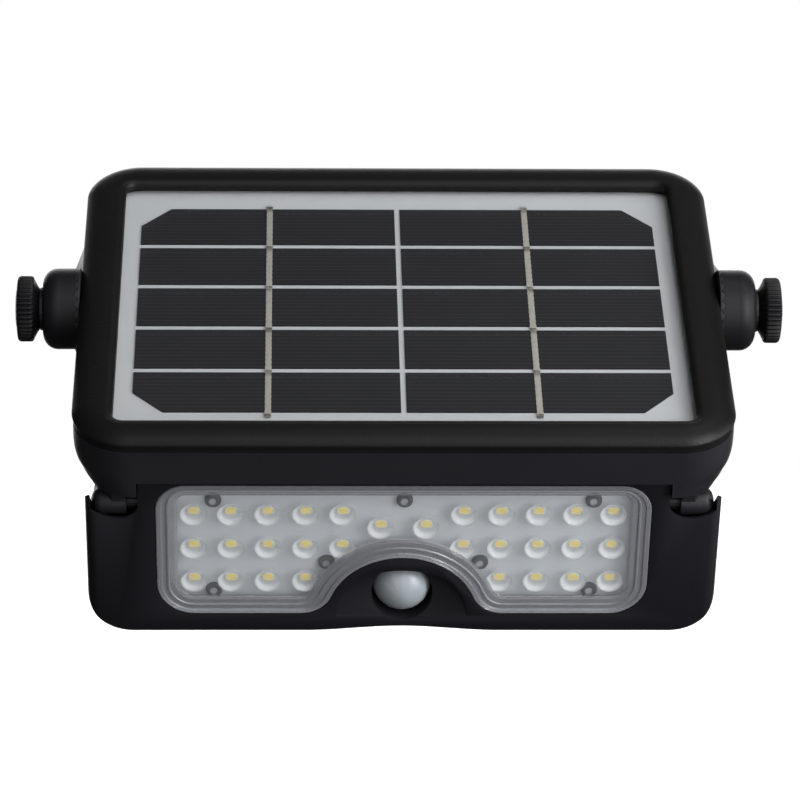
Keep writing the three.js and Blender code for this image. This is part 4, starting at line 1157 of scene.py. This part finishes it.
def cover_screws():
    for i, (x, z, _) in enumerate(REAR_SCREWS, 1):
        # cross recess
        screw = cut(lathe(REAR_SCREW_PROFILE, 32, "y", (x, 0, z)),
                    box(x - 1.5, x + 1.5, -35.9, -34.9, z - 0.3, z + 0.3),
                    box(x - 0.3, x + 0.3, -35.9, -34.9, z - 1.5, z + 1.5))
        piece("cover_screw_%d" % i, screw, MAT_DARK_SCREW, "lamp", ["rear_screw_%d" % i])


def push_button():
    piece("push_button", lathe(BUTTON_PROFILE, 48, "y", (BUTTON_X, 0, BUTTON_Z)), MAT_BUTTON,
          "mode_button", ["mode_button"], smooth=50)


# ------------------------------------------------------------------ CAD pieces kept as they are
SIDE_PIECES = [("%s_knob_stud", MAT_BLACKENED), ("%s_knob_washer", MAT_BLACKENED),
               ("thread_insert_%s", MAT_BRASS), ("hinge_sleeve_%s", MAT_BLACKENED)]
SINGLE_PIECES = [
    ("solar_backsheet", MAT_SHEET), ("solar_glass", MAT_PANEL_GLASS),
    ("panel_gasket", MAT_RUBBER), ("lens_gasket", MAT_RUBBER),
    ("terminal_board", MAT_CIRCUIT), ("control_board", MAT_CIRCUIT),
    ("panel_cable", MAT_CABLE), ("lamp_cable", MAT_CABLE), ("sensor_can", MAT_CAN),
    ("battery_cell", MAT_SLEEVE), ("battery_cradle", MAT_GREY)]


def dress_cad_pieces():
    pieces = []
    for _, side_name in SIDES:
        pieces += [("solar_cell_%s_%d" % (side_name, i), MAT_CELL) for i in range(1, 6)]
        pieces += [(name % side_name, material) for name, material in SIDE_PIECES]
    for name, material in pieces + SINGLE_PIECES:
        finish_mesh(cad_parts[name].data, material, smooth=30)


# ------------------------------------------------------------------ camera
LENS_MM, SENSOR_MM = 179.80515, 36.0
# view direction and roll in the head frame
ELEVATION, AZIMUTH, ROLL = (math.radians(a) for a in (36.157, -1.915, 1.222))
DISTANCE = 1137.976
SHIFT_RIGHT, SHIFT_UP = 0.383, -25.995      # aim point, across the view


def add_camera():
    forward = Vector((-math.sin(AZIMUTH) * math.cos(ELEVATION),
                      math.cos(AZIMUTH) * math.cos(ELEVATION), -math.sin(ELEVATION)))
    right = Vector((math.cos(AZIMUTH), math.sin(AZIMUTH), 0))
    up = right.cross(forward)
    origin = right * SHIFT_RIGHT + up * SHIFT_UP - forward * DISTANCE
    rolled_right = right * math.cos(ROLL) + up * math.sin(ROLL)
    rolled_up = up * math.cos(ROLL) - right * math.sin(ROLL)
    tilt = Matrix.Rotation(TILT, 3, "X")
    axes = (tilt @ rolled_right, tilt @ rolled_up, tilt @ -forward)
    matrix = Matrix(axes).transposed().to_4x4()
    matrix.translation = HEAD @ origin
    data = bpy.data.cameras.new("camera")
    data.sensor_width, data.lens, data.clip_end = SENSOR_MM, LENS_MM, 20
    camera = add_object("camera", data)
    camera.matrix_world = matrix
    bpy.context.scene.camera = camera


# ------------------------------------------------------------------ stage and light
FLOOR_HALF, FLOOR_Z = 7, -0.21      # metres


def floor_material():
    mat = Material("floor_pale")
    cloud = mat.noise(scale=0.004, detail=2, rough=0.5)
    colour = mat.mix(cloud, (0.90, 0.90, 0.905), (0.93, 0.93, 0.93))
    return mat.principled(colour, 0.8, Emission_Color=(1, 1, 1), Emission_Strength=0.72)


def add_floor():
    """Seen by the camera only; it neither lights nor shades the lamp."""
    mesh = bpy.data.meshes.new("floor")
    corners = ((-1, -1), (1, -1), (1, 1), (-1, 1))
    mesh.from_pydata([(x * FLOOR_HALF, y * FLOOR_HALF, FLOOR_Z) for x, y in corners], [],
                     [(0, 1, 2, 3)])
    mesh.materials.append(floor_material())
    floor = add_object("floor", mesh)
    floor.visible_diffuse = floor.visible_glossy = floor.visible_shadow = False


# soft boxes on the sky: direction, cosine range from dark to full, brightness, colour
def cosines(inner, outer):
    return math.cos(math.radians(outer)), math.cos(math.radians(inner))


SKY_LOBES = [
    ((0.0, 0.0, 1.0), (-3, -2), 0.05, (1, 1, 1)),       # full in every direction
    ((0.25, -1.0, -0.05), cosines(14, 58), 1.2, (1.0, 1.0, 1.01)),
    ((0.35, -0.75, 0.70), cosines(8, 34), 2.0, (1.0, 1.0, 1.0)),
    ((1.0, -0.12, 0.05), cosines(8, 34), 3.4, (1.0, 1.0, 1.0)),
    ((-1.0, -0.15, 0.10), cosines(6, 30), 0.18, (1.0, 1.0, 1.05)),
    ((0.0, 1.0, 0.22), cosines(10, 36), 4.0, (1.0, 1.0, 1.0)),
]


def add_world():
    """Soft boxes for lighting; the camera itself sees plain white."""
    world = bpy.data.worlds.new("studio")
    bpy.context.scene.world = world
    sky = Graph(world)
    direction = sky.node("TexCoord").outputs["Generated"]
    total = None
    for towards, (dark, full), power, tint in SKY_LOBES:
        dot = sky.node("VectorMath", operation="DOT_PRODUCT")
        sky.link(direction, dot.inputs[0])
        dot.inputs[1].default_value = Vector(towards).normalized()
        fade = sky.node("MapRange", interpolation_type="SMOOTHSTEP")
        sky.link(dot.outputs["Value"], fade.inputs["Value"])
        for key, value in (("From Min", dark), ("From Max", full), ("To Min", 0.0),
                           ("To Max", power)):
            fade.inputs[key].default_value = value
        lobe = sky.node("VectorMath", operation="SCALE")
        lobe.inputs[0].default_value = tint
        sky.link(fade.outputs["Result"], lobe.inputs["Scale"])
        if total is None:
            total = lobe.outputs[0]
        else:
            add = sky.node("VectorMath", operation="ADD")
            sky.link(total, add.inputs[0])
            sky.link(lobe.outputs[0], add.inputs[1])
            total = add.outputs[0]
    mix = sky.node("Mix", data_type="RGBA")
    sky.link(sky.node("LightPath").outputs["Is Camera Ray"], mix.inputs[0])
    sky.link(total, mix.inputs[6])
    sky.feed(mix.inputs[7], (1.0, 1.0, 1.0))
    background = sky.node("Background")
    sky.link(mix.outputs[2], background.inputs[0])
    sky.link(background.outputs[0], sky.node("OutputWorld").inputs[0])


def area_light(name, location, target, size, power):
    light = bpy.data.lights.new(name, "AREA")
    light.shape, light.energy = "RECTANGLE", power
    light.size, light.size_y = size
    obj = add_object(name, light)
    obj.location = location
    aim = Vector(target) - Vector(location)
    obj.rotation_euler = aim.to_track_quat("-Z", "Y").to_euler()


# ------------------------------------------------------------------ build
bezel_frame()
for side in SIDES:
    soldered_ribbon(*side)
shell_tray()
for side in SIDES:
    tilt_teeth(*side)
yoke_bracket()
for side in SIDES:
    hub_teeth(*side)
    thumb_knob(*side)
lamp_front()
lens_plate()
lens_domes()
led_board()
motion_dome()
lamp_back()
cover_screws()
push_button()
dress_cad_pieces()

add_camera()
add_floor()
add_world()
area_light("side_soft", location=(0.40, -0.46, 0.02), target=(0.09, -0.09, -0.03),
           size=(0.22, 0.45), power=3.4)
area_light("key", location=(0.35, -0.25, 1.3), target=(0, -0.09, -0.02),
           size=(0.6, 0.45), power=2.3)

view = bpy.context.scene.view_settings
view.view_transform, view.look, view.exposure, view.gamma = "Standard", "None", 0.0, 1.0
